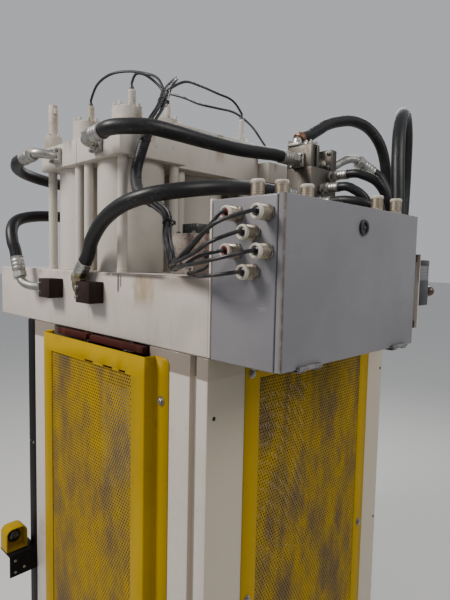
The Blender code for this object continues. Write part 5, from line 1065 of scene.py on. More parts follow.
def make_plated(name, clean, dull, roughness, stain=(0.16, 0.11, 0.07), rust=0.04):
    """Plated steel: a bright cloudy film, scratches and a few spots of rust."""
    made, tree, shader, place = new_finish(name, roughness, metallic=1.0)
    film = effect(tree, "blotches", place, scale=22.0, low=0.38, high=0.66)
    spots = effect(tree, "blotches", place, scale=110.0, detail=6.0, low=0.7 - rust, high=0.78 - rust)
    colour = mixed(tree, film, clean, dull)
    feed(tree, mixed(tree, times(tree, spots, 0.8), colour, stain), shader, "Base Color")
    feed(tree, ranged(tree, spots, start=1.0, end=0.3), shader, "Metallic")
    feed(tree, ranged(tree, film, start=roughness - 0.08, end=roughness + 0.14), shader, "Roughness")
    marks = effect(tree, "scratches", place, scale=70.0, width=0.01, cover=0.52)
    height = math_node(tree, "SUBTRACT", effect(tree, "spray_grain", place, scale=420.0, waves=60.0), marks)
    bumped(tree, shader, height, 0.14, 0.0004)
    return made


zinc_plate = make_plated("zinc_plate", (0.4, 0.393, 0.372), (0.24, 0.232, 0.215), 0.47)
yellow_zinc = make_plated("yellow_zinc", (0.27, 0.235, 0.135), (0.2, 0.175, 0.125), 0.42)
zinc_tree = yellow_zinc.node_tree
above_neck = in_band(zinc_tree, apart(zinc_tree, coordinates_of(zinc_tree))["Z"], 1.946, 3.0, 0.003)
overlaid(yellow_zinc, above_neck, (0.4, 0.39, 0.36))
dark_fastener_and_hinge_shade = make_plated("dark_fastener_and_hinge_shade", (0.3, 0.29, 0.28), (0.17, 0.16, 0.15), 0.42, rust=0.09)


# Sensors: a round flanged boss on each front cap and on the main one, held by a ring of cap screws,
# with a threaded tube and a moulded plug. Sprayed in the frame's cream, with grime in its corners.
SENSOR_TUBE_HEIGHT = 0.062
VENT_PLACE = (0.175, 0.143)
VENT_FOOT = 0.0215
VENT_TUBE_HEIGHT = 0.07
SCREW_HEAD_RADIUS = 0.0068
SCREW_HEAD_HEIGHT = 0.0125
SENSORS = {
    "sensor_front_left": ((-0.132, -0.345), (-0.142, -0.355), CORNER_CAP_TOP, 0.052, 0.1),
    "sensor_front_right": ((0.132, -0.345), (0.122, -0.355), CORNER_CAP_TOP, 0.052, 0.1),
    "sensor_main": ((-0.036, -0.062), (-0.046, -0.072), MAIN_CAP_TOP, 0.0625, 0.0815),
}
grimy_paint = make_paint("grimy_enamel", (0.47, 0.435, 0.39), (0.36, 0.325, 0.28), (0.2, 0.155, 0.1),
                         (0.15, 0.08, 0.04), 0.48, top=2.6, reach=0.09, grime=0.5)
screw_spots, plug_work = [], bmesh.new()


def add_sensor_tube(work, x, y, low, radius, height):
    """The hexagon foot, threaded tube and rounded mouth that a plug screws onto."""
    foot = low + min(0.012, height * 0.2)
    turn_up(work, [(0, low - 0.001), (radius * 1.32, low - 0.001), (radius * 1.38, low + 0.001),
                   (radius * 1.38, foot - 0.0015), (radius * 1.2, foot), (radius, foot)], 6, (x, y, 0))
    profile, z = [(0, foot - 0.001), (radius, foot - 0.001)], foot
    while z < low + height - 0.01:
        profile += [(radius, z), (radius, z + 0.0032), (radius * 0.95, z + 0.0038), (radius * 0.95, z + 0.0046)]
        z += 0.0052
    profile += [(radius, low + height - 0.009), (radius, low + height - 0.0015), (radius * 0.9, low + height),
                (0, low + height)]
    turn_up(work, profile, 24, (x, y, 0))


def add_plug(work, x, y, low):
    turn_up(work, [(0, low - 0.0005), (0.0088, low - 0.0005), (0.0088, low + 0.004), (0.008, low + 0.0048),
                   (0.008, low + 0.0085), (0.0062, low + 0.0116), (0, low + 0.0118)], 20, (x, y, 0))


for sensor, ((x, y), (boss_x, boss_y), cap_top, radius, height) in SENSORS.items():
    low = cap_top + SEAT_GAP
    high = low + height
    work = bmesh.new()
    turn_up(work, [(0, low), (radius - 0.0015, low), (radius, low + 0.0015), (radius, high - 0.003),
                   (radius - 0.003, high),
                   (0, high)], 48, (boss_x, boss_y, 0))
    add_sensor_tube(work, x, y, high, 0.0135, SENSOR_TUBE_HEIGHT)
    new_piece(sensor + "_boss", work, grimy_paint, "cream_paint", stands_for=(sensor,))
    add_plug(plug_work, x, y, high + SENSOR_TUBE_HEIGHT)
    for number in range(8):
        angle = 2 * math.pi * (number + 0.5) / 8
        reach = radius - 0.0095
        screw_spots.append(((boss_x + reach * math.cos(angle), boss_y + reach * math.sin(angle), high - 0.0004),
                            (0, 0, 1)))
work = bmesh.new()
low = MAIN_CAP_TOP + SEAT_GAP
turn_up(work, [(0, low), (0.0245, low), (0.0258, low + 0.0015), (0.0258, low + 0.0195), (0.0238, low + VENT_FOOT),
               (0, low + VENT_FOOT)], 6, (*VENT_PLACE, 0))
add_sensor_tube(work, *VENT_PLACE, low + VENT_FOOT, 0.01, VENT_TUBE_HEIGHT)
new_piece("sensor_vent_body", work, grimy_paint, "cream_paint", stands_for=("sensor_vent",))
add_plug(plug_work, *VENT_PLACE, low + VENT_FOOT + VENT_TUBE_HEIGHT)
new_piece("sensor_plugs", plug_work, nylon_tie, "black_plastic")
set_bolts("sensor_cap_screws", screw_spots, grimy_paint, "cream_paint",
          across=SCREW_HEAD_RADIUS, height=SCREW_HEAD_HEIGHT, washer=0.0086, stub=0.0034, rise=0.0006, sides=14)


# Cap plugs and stand screws: small plugs screwed in the right caps' sides, and four cap screws round
# the foot of the stand post, of steel and sprayed with the parts that they are in.
plug_spots = [((0.2629, y, z), (1, 0, 0)) for y, z in ((-0.338, 2.355), (-0.269, 2.361), (0.338, 2.355),
                                                       (0.407, 2.361))]
set_bolts("cap_side_plugs", plug_spots, cylinder_paint, "cream_paint",
          across=0.0045, height=0.0006, washer=0.0055, rise=0.0002, sides=12)
STAND_SCREW_REACH = 0.023
stand_x, stand_y = STAND_PLACE
stand_spots = [((stand_x + STAND_SCREW_REACH * math.cos(a), stand_y + STAND_SCREW_REACH * math.sin(a),
                 CORNER_CAP_TOP + 0.0455), (0, 0, 1))
               for a in (0.4, 1.97, 3.54, 5.11)]
set_bolts("stand_screws", stand_spots, grimy_paint, "cream_paint",
          across=0.0055, height=0.01, washer=0.0066, sides=14)


# Hose ends: forged and turned steel fittings, zinc plated. A square clamp with four bolts holds the
# bent neck on its port, a hexagon nut joins it, and a ribbed ferrule is crimped over the hose.
CLAMP_HALF = 0.0262
CLAMP_BOLT_REACH = 0.0188
NECK_RADIUS = 0.0158
NUT_RADIUS = 0.0262
FERRULE_RADIUS = 0.0245
CLAMPED = ("cap_front_right", "cap_front_left", "manifold_back", "manifold_top", "manifold_front",
           "manifold_low_front", "left_manifold_upper", "left_manifold_lower")
clamp_bolts = {}


def add_hose_end(work, name, carrier):
    """One fitting along its route: clamp or hexagon foot, bent neck, nut and crimped ferrule."""
    route = end_routes[name]
    scale = STRAIGHT_ENDS[name][2] if name in STRAIGHT_ENDS else 1.0
    whole = length_of(route)
    thick = FLANGE_THICKNESS * scale
    nut = whole - (NUT_LENGTH + FERRULE_LENGTH) * scale
    grip = nut + NUT_LENGTH * scale
    start, out = route[0], (route[1] - route[0]).normalized()
    if name in CLAMPED:
        upright = Vector((0, 1, 0)) if abs(out.z) > 0.9 else Vector((0, 0, 1))
        side = out.cross(upright).normalized()
        frame_of = Matrix.Translation(start) @ Matrix((side, out.cross(side), out)).transposed().to_4x4()
        add_block(work, (-CLAMP_HALF, -CLAMP_HALF, -0.0015), (CLAMP_HALF, CLAMP_HALF, thick - 0.001), 0.004, 3,
                  frame_of)
        for across in (-CLAMP_BOLT_REACH, CLAMP_BOLT_REACH):
            for along in (-CLAMP_BOLT_REACH, CLAMP_BOLT_REACH):
                spot = frame_of @ Vector((across, along, thick - 0.0012))
                clamp_bolts.setdefault(carrier, []).append((spot, out))
        turn_up(work, [(0.0, thick - 0.002), (0.018, thick - 0.002), (0.018, thick + 0.003), (0.016, thick + 0.006),
                       (0, thick + 0.006)], 28, start, out)
    else:
        turn_up(work, [(0, -0.001), (0.0235 * scale, -0.001), (0.025 * scale, 0.0015), (0.025 * scale, thick - 0.002),
                       (0.0225 * scale, thick), (0, thick)], 6, start, out)
    neck = NECK_RADIUS * scale
    steps = max(3, round((nut - thick) / 0.006))
    stations = [(thick * 0.5 + (nut - thick * 0.5) * i / steps, neck) for i in range(steps + 1)]
    sweep(work, route, stations, 22)
    hexagon = NUT_RADIUS * scale
    sweep(work, route, [(nut - 0.001, hexagon * 0.84), (nut + 0.0025 * scale, hexagon),
                        (grip - 0.0035 * scale, hexagon),
                        (grip - 0.001 * scale, hexagon * 0.86), (grip + 0.001, hexagon * 0.8)], 6)
    ferrule = FERRULE_RADIUS * scale
    length = whole - grip
    profile = [(grip, ferrule * 0.8), (grip + 0.003 * scale, ferrule * 0.9)]
    for ridge in range(3):
        low = grip + length * (0.1 + 0.24 * ridge)
        profile += [(low, ferrule * 0.945), (low + length * 0.03, ferrule * 0.975),
                    (low + length * 0.18, ferrule * 0.975),
                    (low + length * 0.21, ferrule * 0.945)]
    profile += [(whole - length * 0.09, ferrule * 0.945), (whole - length * 0.05, ferrule * 0.99),
                (whole - 0.0006, ferrule * 0.995), (whole, ferrule * 0.965)]
    sweep(work, route, profile, 26)


for piece_name, names, finish, carrier in (
        ("hose_end_cap_right", ["cap_front_right"], zinc_plate, "caps"),
        ("hose_end_cap_left", ["cap_front_left"], zinc_plate, "caps"),
        ("hose_end_port_left", ["port_left"], zinc_plate, "ports"),
        ("hose_end_port_right", ["port_right"], yellow_zinc, "ports"),
        ("hose_ends_manifold", ["manifold_back", "manifold_front", "manifold_low_front"], zinc_plate, "manifold"),
        ("hose_ends_drains", ["manifold_side_upper", "manifold_side_middle", "manifold_side_lower"], zinc_plate,
         "manifold"),
        ("hose_ends_left_manifold", ["left_manifold_upper", "left_manifold_lower"], zinc_plate, "left_manifold")):
    work = bmesh.new()
    for name in names:
        add_hose_end(work, name, carrier)
    new_piece(piece_name, work, finish, "bare_steel", sharp=28)
copper_ring = make_plated("copper_ring", (0.27, 0.145, 0.095), (0.18, 0.105, 0.075), 0.46)
arch_route = end_routes["manifold_top"]
arch_length = length_of(arch_route)
work = bmesh.new()
add_block(work, (0.399, 0.1545, 2.4185), (0.451, 0.2055, 2.4325), 0.004, 3)
sweep(work, arch_route, [(0.01, 0.019), (0.022, 0.019), (0.026, 0.0165), (0.036, 0.0165)], 28)
new_piece("hose_arch_clamp", work, zinc_plate, "bare_steel")
clamp_bolts["manifold"] += [(Vector((x, y, 2.4323)), Vector((0, 0, 1))) for x in (0.4062, 0.4438) for y in (0.1612,
                                                                                                            0.1988)]
work = bmesh.new()
sweep(work, arch_route, [(0.03, 0.0205), (0.032, 0.0236), (0.044, 0.024), (0.047, 0.0225), (0.049, 0.0225)], 28)
new_piece("hose_arch_ring", work, copper_ring, "bare_steel")
work = bmesh.new()
rows = [(0.046 + (arch_length - 0.046) * i / 14, HOSE_DIAMETER / 2) for i in range(15)]
sweep(work, arch_route, rows, HOSE_SIDES)
new_piece("hose_arch_foot", work, hose_rubber, "black_rubber")
for carrier, spots in clamp_bolts.items():
    set_bolts("clamp_bolts_" + carrier, spots, zinc_plate, "bare_steel",
              across=0.0068, height=0.0075, washer=0.0072)


# Port blocks: two machined steel blocks in dark primer, oil-soaked, each held on the crown's front
# face by two bolts.
port_paint = make_paint("port_primer", (0.024, 0.013, 0.011), (0.017, 0.01, 0.009), (0.01, 0.008, 0.007),
                        (0.06, 0.03, 0.018), 0.5, top=1.921, reach=0.04, coat=0.0)
dulled(port_paint, 0.12)
PORT_BLOCKS = {"port_block_left": -0.181, "port_block_right": 0.091}
port_spots = []
for block, low_x in PORT_BLOCKS.items():
    corners = (low_x, -0.5293, 1.853), (low_x + 0.085, -0.4773, 1.921)
    blocks_piece(block + "_body", [(*corners, 0.002)], port_paint, "black_paint", stands_for=(block,))
    port_spots += [((low_x + 0.012, -0.529, z), (0, -1, 0)) for z in (1.87, 1.902)]
set_bolts("port_block_bolts", port_spots, zinc_plate, "bare_steel",
          across=0.0066, height=0.007, washer=0.0072, stub=0.0026, rise=0.0008)


# Valve manifolds: sawn and milled steel blocks behind the cylinders, unpainted and dull, the right
# one with a flanged valve along its top whose two flanges are drawn together by bolts.
cast_steel = make_ground_steel("dull_steel", (0.135, 0.125, 0.11), (0.085, 0.078, 0.066), 0.5, rust=0.07)
work = bmesh.new()
add_block(work, (0.395, 0.16, 1.9533), (0.505, 0.325, 2.341), 0.003)
add_block(work, (0.395, 0.16, 2.338), (0.505, 0.1765, 2.42), 0.004, 3)
add_block(work, (0.403, 0.175, 2.338), (0.496, 0.196, 2.414), 0.003)
add_block(work, (0.395, 0.1945, 2.338), (0.505, 0.21, 2.42), 0.004, 3)
add_block(work, (0.395, 0.289, 2.338), (0.505, 0.325, 2.42), 0.006, 3)
waist = [(0, 0.0), (0.036, 0.0), (0.036, 0.006), (0.03, 0.014), (0.027, 0.03), (0.027, 0.052), (0.03, 0.068),
         (0.036, 0.076), (0.036, 0.082), (0, 0.082)]
turn_up(work, [(radius * 0.94, along) for radius, along in waist], 36, (0.45, 0.2085, 2.364), (0, 1, 0))
add_block(work, (0.352, 0.176, 2.383), (0.397, 0.204, 2.411), 0.003)
new_piece("valve_manifold_body", work, cast_steel, "bare_steel", stands_for=("valve_manifold",))
valve_spots = [((x, y, z), (0, facing, 0)) for x in (0.409, 0.491) for z in (2.355, 2.407)
               for y, facing in ((0.2096, 1), (0.2894, -1))]
valve_spots += [((x, y, 2.4196), (0, 0, 1)) for x in (0.474, 0.492) for y in (0.172, 0.199)]
valve_spots += [((0.5046, y, z), (1, 0, 0)) for y in (0.178, 0.307) for z in (2.01, 2.12)]
set_bolts("valve_bolts", valve_spots, zinc_plate, "bare_steel",
          across=0.0085, height=0.0085, washer=0.01, stub=0.004, rise=0.006)
blocks_piece("left_manifold_body", [
    ((-0.475, 0.165, 1.9533), (-0.365, 0.275, 2.345), 0.003),
], cast_steel, "bare_steel", stands_for=("left_manifold",))
left_spots = [((x, y, 2.3446), (0, 0, 1)) for x in (-0.459, -0.381) for y in (0.181, 0.259)]
set_bolts("left_manifold_bolts", left_spots, dark_fastener_and_hinge_shade, "bare_steel",
          across=0.0085, height=0.0085, washer=0.0105, stub=0.004, rise=0.002)


# Junction block: a cast box with a screwed lid and a black cable gland, beside the front right
# cylinder, its cream paint freckled with rust.
rusty_paint = make_paint("rusty_enamel", (0.31, 0.265, 0.23), (0.25, 0.21, 0.18), (0.15, 0.11, 0.085),
                         (0.075, 0.036, 0.022), 0.66, top=2.075, reach=0.1, grime=0.5, coat=0.0)
speck_tree = rusty_paint.node_tree
rust_specks = effect(speck_tree, "blotches", coordinates_of(speck_tree), scale=120.0, detail=3.0, low=0.58, high=0.64)
overlaid(rusty_paint, rust_specks, (0.06, 0.03, 0.02), 0.85)
blocks_piece("junction_block_body", [
    ((0.372, -0.36, 1.9533), (0.47, -0.262, 2.068), 0.003),
    ((0.374, -0.358, 2.0665), (0.468, -0.264, 2.075), 0.0015),
], rusty_paint, "rusty_steel", stands_for=("junction_block",))
junction_spots = [((x, y, 2.0746), (0, 0, 1)) for x in (0.385, 0.457) for y in (-0.347, -0.275)]
junction_spots += [((0.4696, -0.275, 1.975), (1, 0, 0)), ((0.388, -0.3596, 1.972), (0, -1, 0)),
                   ((0.454, -0.3596, 1.972), (0, -1, 0))]
set_bolts("junction_screws", junction_spots, dark_fastener_and_hinge_shade, "rusty_steel",
          across=0.0062, height=0.0055, washer=0.0072, stub=0.0024, rise=0.0006)
work = bmesh.new()
turn_up(work, [(0, 0.0), (0.0115, 0.0), (0.0115, 0.006), (0.0095, 0.0068), (0.0095, 0.0087), (0.0068, 0.0098),
               (0, 0.01)], 20, (0.4695, -0.311, 2.014), (1, 0, 0))
add_block(work, (0.392, -0.338, 2.0752), (0.462, -0.284, 2.102), 0.003)
for rib in range(5):
    add_block(work, (0.396 + rib * 0.0135, -0.34, 2.079), (0.4025 + rib * 0.0135, -0.282, 2.1045), 0.0012, 1)
new_piece("junction_gland", work, nylon_tie, "black_plastic")


# Hose bracket: an L-shaped shelf of flame-cut plate on the crown's rear right corner, primed and
# rusting, with the swivel couplings that the supply and drain hoses land on.
rusty_steel = make_ground_steel("rusty_plate", (0.22, 0.2, 0.18), (0.13, 0.105, 0.085), 0.55, rust=0.22)
outline = [(0.6643, 0.1997), (0.8143, 0.1997), (0.8143, 0.4773), (0.6643, 0.6723), (0.4703, 0.6723), (0.4703, 0.4773),
           (0.6643, 0.4773)]
lip_outline = [(0.6643, 0.1997), (0.6763, 0.1997), (0.6763, 0.4893), (0.4703, 0.4893), (0.4703, 0.4773),
               (0.6643, 0.4773)]


def add_prism(work, outline, low, high, edge):
    """A flat outline in X and Y made into a plate, with its long edges rounded."""
    rings = [[work.verts.new((x, y, z)) for x, y in outline] for z in (low, high)]
    faces = [work.faces.new(list(reversed(rings[0]))), work.faces.new(rings[1])]
    for i in range(len(outline)):
        j = (i + 1) % len(outline)
        work.faces.new((rings[0][i], rings[0][j], rings[1][j], rings[1][i]))
    edges = list({e for face in faces for e in face.edges})
    if edge:
        bmesh.ops.bevel(work, geom=edges, offset=edge, segments=2, profile=0.5, affect="EDGES")


work = bmesh.new()
add_prism(work, outline, 1.88, BRACKET_TOP, 0.0012)
add_prism(work, lip_outline, 1.83, 1.883, 0.0)
new_piece("hose_bracket_plate", work, rusty_steel, "bare_steel", stands_for=("hose_bracket",))
work = bmesh.new()
for x, y, scale in COUPLINGS.values():
    nut, ferrule, low, top = NUT_RADIUS * scale, FERRULE_RADIUS * scale, BRACKET_TOP, BRACKET_TOP + COUPLING_HEIGHT
    turn_up(work, [(0, low), (nut * 0.9, low), (nut, low + 0.002), (nut, low + 0.02), (nut * 0.86, low + 0.0235),
                   (0, low + 0.0235)], 6, (x, y, 0), turn=0.3)
    profile = [(0, low + 0.022), (ferrule * 0.8, low + 0.022), (ferrule * 0.9, low + 0.026)]
    for ridge in range(4):
        z = low + 0.03 + 0.012 * ridge
        profile += [(ferrule * 0.915, z), (ferrule * 0.97, z + 0.002), (ferrule * 0.97, z + 0.007),
                    (ferrule * 0.915, z + 0.009)]
    profile += [(ferrule * 0.99, top - 0.004), (ferrule * 0.97, top), (0, top)]
    turn_up(work, profile, 26, (x, y, 0))
    turn_up(work, [(0, 1.8698), (nut * 0.92, 1.8698), (nut * 0.92, 1.8802), (0, 1.8802)], 6, (x, y, 0))
new_piece("bracket_couplings", work, zinc_plate, "bare_steel", sharp=28)


# Guards: sheet steel, 2 mm, folded into a hat at the front and the rear and left flat at the right,
# sprayed safety yellow and bolted on. Three slots are punched above the window of each hat.
yellow_paint = make_paint("yellow_enamel", (0.375, 0.236, 0.0), (0.33, 0.206, 0.0), (0.2, 0.13, 0.01),
                          (0.12, 0.07, 0.03), 0.44, top=1.727, reach=0.03, grime=0.7, coat=0.0)
dulled(yellow_paint, 0.06)
GUARD_LEFT, GUARD_RIGHT = -0.169, 0.452
FRONT_PANEL_Y, REAR_PANEL_Y = -0.5173, 0.4833
GUARD_FLANGE = 0.06
GUARD_SHEET = 0.002
GUARD_BOTTOM, GUARD_TOP = 0.12, 1.727
FOLD_RADIUS = 0.0045
WINDOW_LEFT, WINDOW_RIGHT = -0.106, 0.389
WINDOW_BOTTOM, WINDOW_TOP = 0.182, 1.665
SLOTS = ((0.126, 0.052), (0.237, 0.054), (0.325, 0.034))
SLOT_BOTTOM, SLOT_TOP = 1.666, 1.672


def folded(corners, radius):
    """An open outline with each inner corner rounded in four steps."""
    outline = [Vector(corners[0])]
    for before, corner, after in zip(corners, corners[1:], corners[2:]):
        corner, before, after = Vector(corner), Vector(before), Vector(after)
        start = corner + (before - corner).normalized() * radius
        end = corner + (after - corner).normalized() * radius
        outline += [(1 - t) ** 2 * start + 2 * (1 - t) * t * corner + t ** 2 * end for t in (0, 0.25, 0.5, 0.75, 1)]
    return outline + [Vector(corners[-1])]


def sheet_piece(name, columns, rows, is_open, node, round_corners):
    """A folded sheet from columns of plan points and rows of heights, open where is_open says."""
    work = bmesh.new()
    grid = [[work.verts.new((x, y, z)) for z in rows] for x, y in columns]
    for i, (left, right) in enumerate(zip(grid, grid[1:])):
        for j in range(len(rows) - 1):
            middle = (left[j].co + right[j + 1].co) / 2
            if not is_open(middle):
                work.faces.new((left[j], right[j], right[j + 1], left[j + 1]))
    corners = [grid[0][-1], grid[-1][-1]] if round_corners else []
    if corners:
        bmesh.ops.bevel(work, geom=corners, offset=0.02, segments=6, profile=0.5, affect="VERTICES")
    piece = new_piece(name, work, yellow_paint, "yellow_paint", stands_for=(node,), recalculated=False)
    sheet = piece.modifiers.new("sheet", "SOLIDIFY")
    sheet.thickness = GUARD_SHEET
    sheet.offset = -1.0
    return piece


def plan_stations(outline, cuts):
    """An outline's plan points with extra ones where a long flat run is cut across."""
    stations = []
    for a, b in zip(outline, outline[1:]):
        stations.append(a)
        if abs(b.x - a.x) > 0.3:
            stations += [Vector((x, a.y + (b.y - a.y) * (x - a.x) / (b.x - a.x))) for x in
                         (cuts if b.x > a.x else reversed(cuts))]
    return stations + [outline[-1]]


def in_hat_opening(middle):
    if min(abs(middle.y - FRONT_PANEL_Y), abs(middle.y - REAR_PANEL_Y)) > 0.0005:
        return False
    if WINDOW_LEFT < middle.x < WINDOW_RIGHT and WINDOW_BOTTOM < middle.z < WINDOW_TOP:
        return True
    in_slot = any(start < middle.x < start + length for start, length in SLOTS)
    return in_slot and SLOT_BOTTOM < middle.z < SLOT_TOP


cuts = [WINDOW_LEFT] + [x for start, length in SLOTS for x in (start, start + length)] + [WINDOW_RIGHT]
cuts.sort()
hat_rows = [GUARD_BOTTOM, WINDOW_BOTTOM, WINDOW_TOP, SLOT_BOTTOM, SLOT_TOP, GUARD_TOP]
for guard, flange_y, panel_y in (("guard_front", -0.4793, FRONT_PANEL_Y), ("guard_rear", 0.4453, REAR_PANEL_Y)):
    corners = [(GUARD_LEFT - GUARD_FLANGE, flange_y), (GUARD_LEFT, flange_y), (GUARD_LEFT, panel_y),
               (GUARD_RIGHT, panel_y),
               (GUARD_RIGHT, flange_y), (GUARD_RIGHT + GUARD_FLANGE, flange_y)]
    if guard == "guard_rear":
        corners.reverse()
    stations = plan_stations(folded(corners, FOLD_RADIUS), cuts)
    sheet_piece(guard + "_hat", stations, hat_rows, in_hat_opening, guard, True)
SIDE_NEAR, SIDE_FAR, SIDE_TOP = -0.337, 0.334, 1.7497
FIELD_NEAR, FIELD_FAR, FIELD_BOTTOM, FIELD_TOP = -0.277, 0.274, 0.182, 1.672
side_stations = [Vector((0.6663, y)) for y in (SIDE_NEAR, FIELD_NEAR, FIELD_FAR, SIDE_FAR)]
sheet_piece("guard_side_sheet", side_stations, [GUARD_BOTTOM, FIELD_BOTTOM, FIELD_TOP, SIDE_TOP],
            lambda middle: FIELD_NEAR < middle.y < FIELD_FAR and FIELD_BOTTOM < middle.z < FIELD_TOP,
            "guard_side", False)
guard_bolts = [((x, y, z), (0, facing, 0)) for x in (-0.199, 0.481) for z in (0.24, 0.92, 1.604)
               for y, facing in ((-0.4791, -1), (0.4451, 1))]
guard_bolts += [((0.6661, y, z), (1, 0, 0)) for y in (-0.312, 0.306) for z in (0.15, 1.035, 1.689)]
set_bolts("guard_bolts", guard_bolts, zinc_plate, "bare_steel",
          across=0.0092, height=0.0065, washer=0.0135, stub=0.0045, rise=0.0012)


# Perforated panels: thin sheet punched all over in staggered rows, held behind each guard's window.
# They were sprayed thinly over old grey-brown paint, so the yellow lies on them in smudges.
def make_perforated_tree():
    """Staggered six-sided cells, each a ring round its hole with the hole's own walls, joined in one sheet."""
    tree, given, result = new_tree("perforated", {"Columns": 50, "Rows": 170, "Pitch": 0.011, "Open": 0.5,
                                                  "Sheet": 0.0025})
    row_pitch = times(tree, given["Pitch"], math.sqrt(3) / 2)
    width = times(tree, math_node(tree, "SUBTRACT", given["Columns"], 1.0), given["Pitch"])
    tall = times(tree, math_node(tree, "SUBTRACT", given["Rows"], 1.0), row_pitch)
    grid = geometry_node(tree, "MeshGrid", {"Size X": width, "Size Y": tall, "Vertices X": given["Columns"],
                                                    "Vertices Y": given["Rows"]}).outputs[0]
    index = tree.nodes.new("GeometryNodeInputIndex").outputs[0]
    row = math_node(tree, "MODULO", index, given["Rows"])
    odd = math_node(tree, "MODULO", row, 2.0)
    shift = times(tree, times(tree, odd, given["Pitch"]), 0.5)
    stagger = shader_node(tree, "CombineXYZ", {"X": shift}).outputs[0]
    staggered = geometry_node(tree, "SetPosition", {"Geometry": grid, "Offset": stagger}).outputs[0]
    radius = math_node(tree, "DIVIDE", given["Pitch"], math.sqrt(3))
    cell = geometry_node(tree, "MeshCircle", {"Vertices": 6, "Radius": radius}, fill_type="NGON").outputs[0]
    upright = geometry_node(tree, "Transform", {"Geometry": cell, "Rotation": (0, 0, math.radians(30))})
    raised = geometry_node(tree, "ExtrudeMesh", {"Mesh": upright.outputs[0], "Offset Scale": 0.0}, mode="FACES")
    drawn = geometry_node(tree, "ScaleElements", {"Geometry": raised.outputs["Mesh"],
                                                          "Selection": raised.outputs["Top"],
                                                          "Scale": given["Open"]}).outputs[0]
    depth = times(tree, given["Sheet"], -1.0)
    sunk = geometry_node(tree, "ExtrudeMesh", {"Mesh": drawn, "Selection": raised.outputs["Top"],
                                                       "Offset Scale": depth}, mode="FACES")
    ring = geometry_node(tree, "DeleteGeometry", {"Geometry": sunk.outputs["Mesh"],
                                                          "Selection": sunk.outputs["Top"]}, domain="FACE").outputs[0]
    placed = geometry_node(tree, "InstanceOnPoints", {"Points": staggered, "Instance": ring})
    finish_tree(tree, given, result, placed.outputs[0])
    return tree


def make_field_paint(name, thin, grime):
    """Yellow dabbed over grey-brown: cloudy at a hand's breadth, drawn out downwards, finely mottled."""
    made, tree, shader, place = new_finish(name, 0.55, coat=0.05)
    drawn = shader_node(tree, "Mapping", {"Vector": place, "Scale": (1.0, 1.0, 0.42)}).outputs[0]
    broad = effect(tree, "blotches", drawn, scale=9.0, detail=7.0, low=thin, high=thin + 0.27)
    fine = effect(tree, "blotches", drawn, scale=40.0, detail=6.0, low=0.3, high=0.74)
    dirt = effect(tree, "blotches", place, scale=3.2, detail=8.0, low=grime, high=grime + 0.2)
    cover = times(tree, broad, math_node(tree, "ADD", times(tree, fine, 0.45), 0.55))
    colour = mixed(tree, cover, (0.135, 0.09, 0.04), (0.345, 0.218, 0.0))
    feed(tree, mixed(tree, times(tree, dirt, 0.6), colour, (0.13, 0.1, 0.075)), shader, "Base Color")
    bumped(tree, shader, effect(tree, "spray_grain", place, scale=300.0, waves=30.0), 0.1, 0.0006)
    return made


perforated = make_perforated_tree()
front_field = make_field_paint("front_field_paint", 0.32, 0.64)
side_field = make_field_paint("side_field_paint", 0.34, 0.6)
dulled(front_field, 0.06)
dulled(side_field, 0.06)
HOLE_PITCH = 0.011
for name, low, high, place, finish in (
        ("front_field", (WINDOW_LEFT, WINDOW_BOTTOM), (WINDOW_RIGHT, WINDOW_TOP),
         Matrix.Translation((0.1415, -0.5146, 0.917)) @ Matrix.Rotation(math.radians(90), 4, "X"), front_field),
        ("rear_field", (WINDOW_LEFT, WINDOW_BOTTOM), (WINDOW_RIGHT, WINDOW_TOP),
         Matrix.Translation((0.1415, 0.4806, 0.917)) @ Matrix.Rotation(math.radians(90), 4, "X"), front_field),
        ("side_field", (FIELD_NEAR, FIELD_BOTTOM), (FIELD_FAR, FIELD_TOP),
         Matrix.Translation((0.665, -0.0015, 0.921)) @ Matrix.Rotation(math.radians(90), 4, "Z")
         @ Matrix.Rotation(math.radians(90), 4, "X"), side_field)):
    columns = round((high[0] - low[0] + 0.008) / HOLE_PITCH)
    rows = round((high[1] - low[1] + 0.01) / (HOLE_PITCH * math.sqrt(3) / 2))
    grow(name, perforated, bpy.data.meshes.new(name + "_base"), finish, "yellow_paint", place=place, columns=columns,
         rows=rows, pitch=HOLE_PITCH, open=0.52, sheet=0.0028)


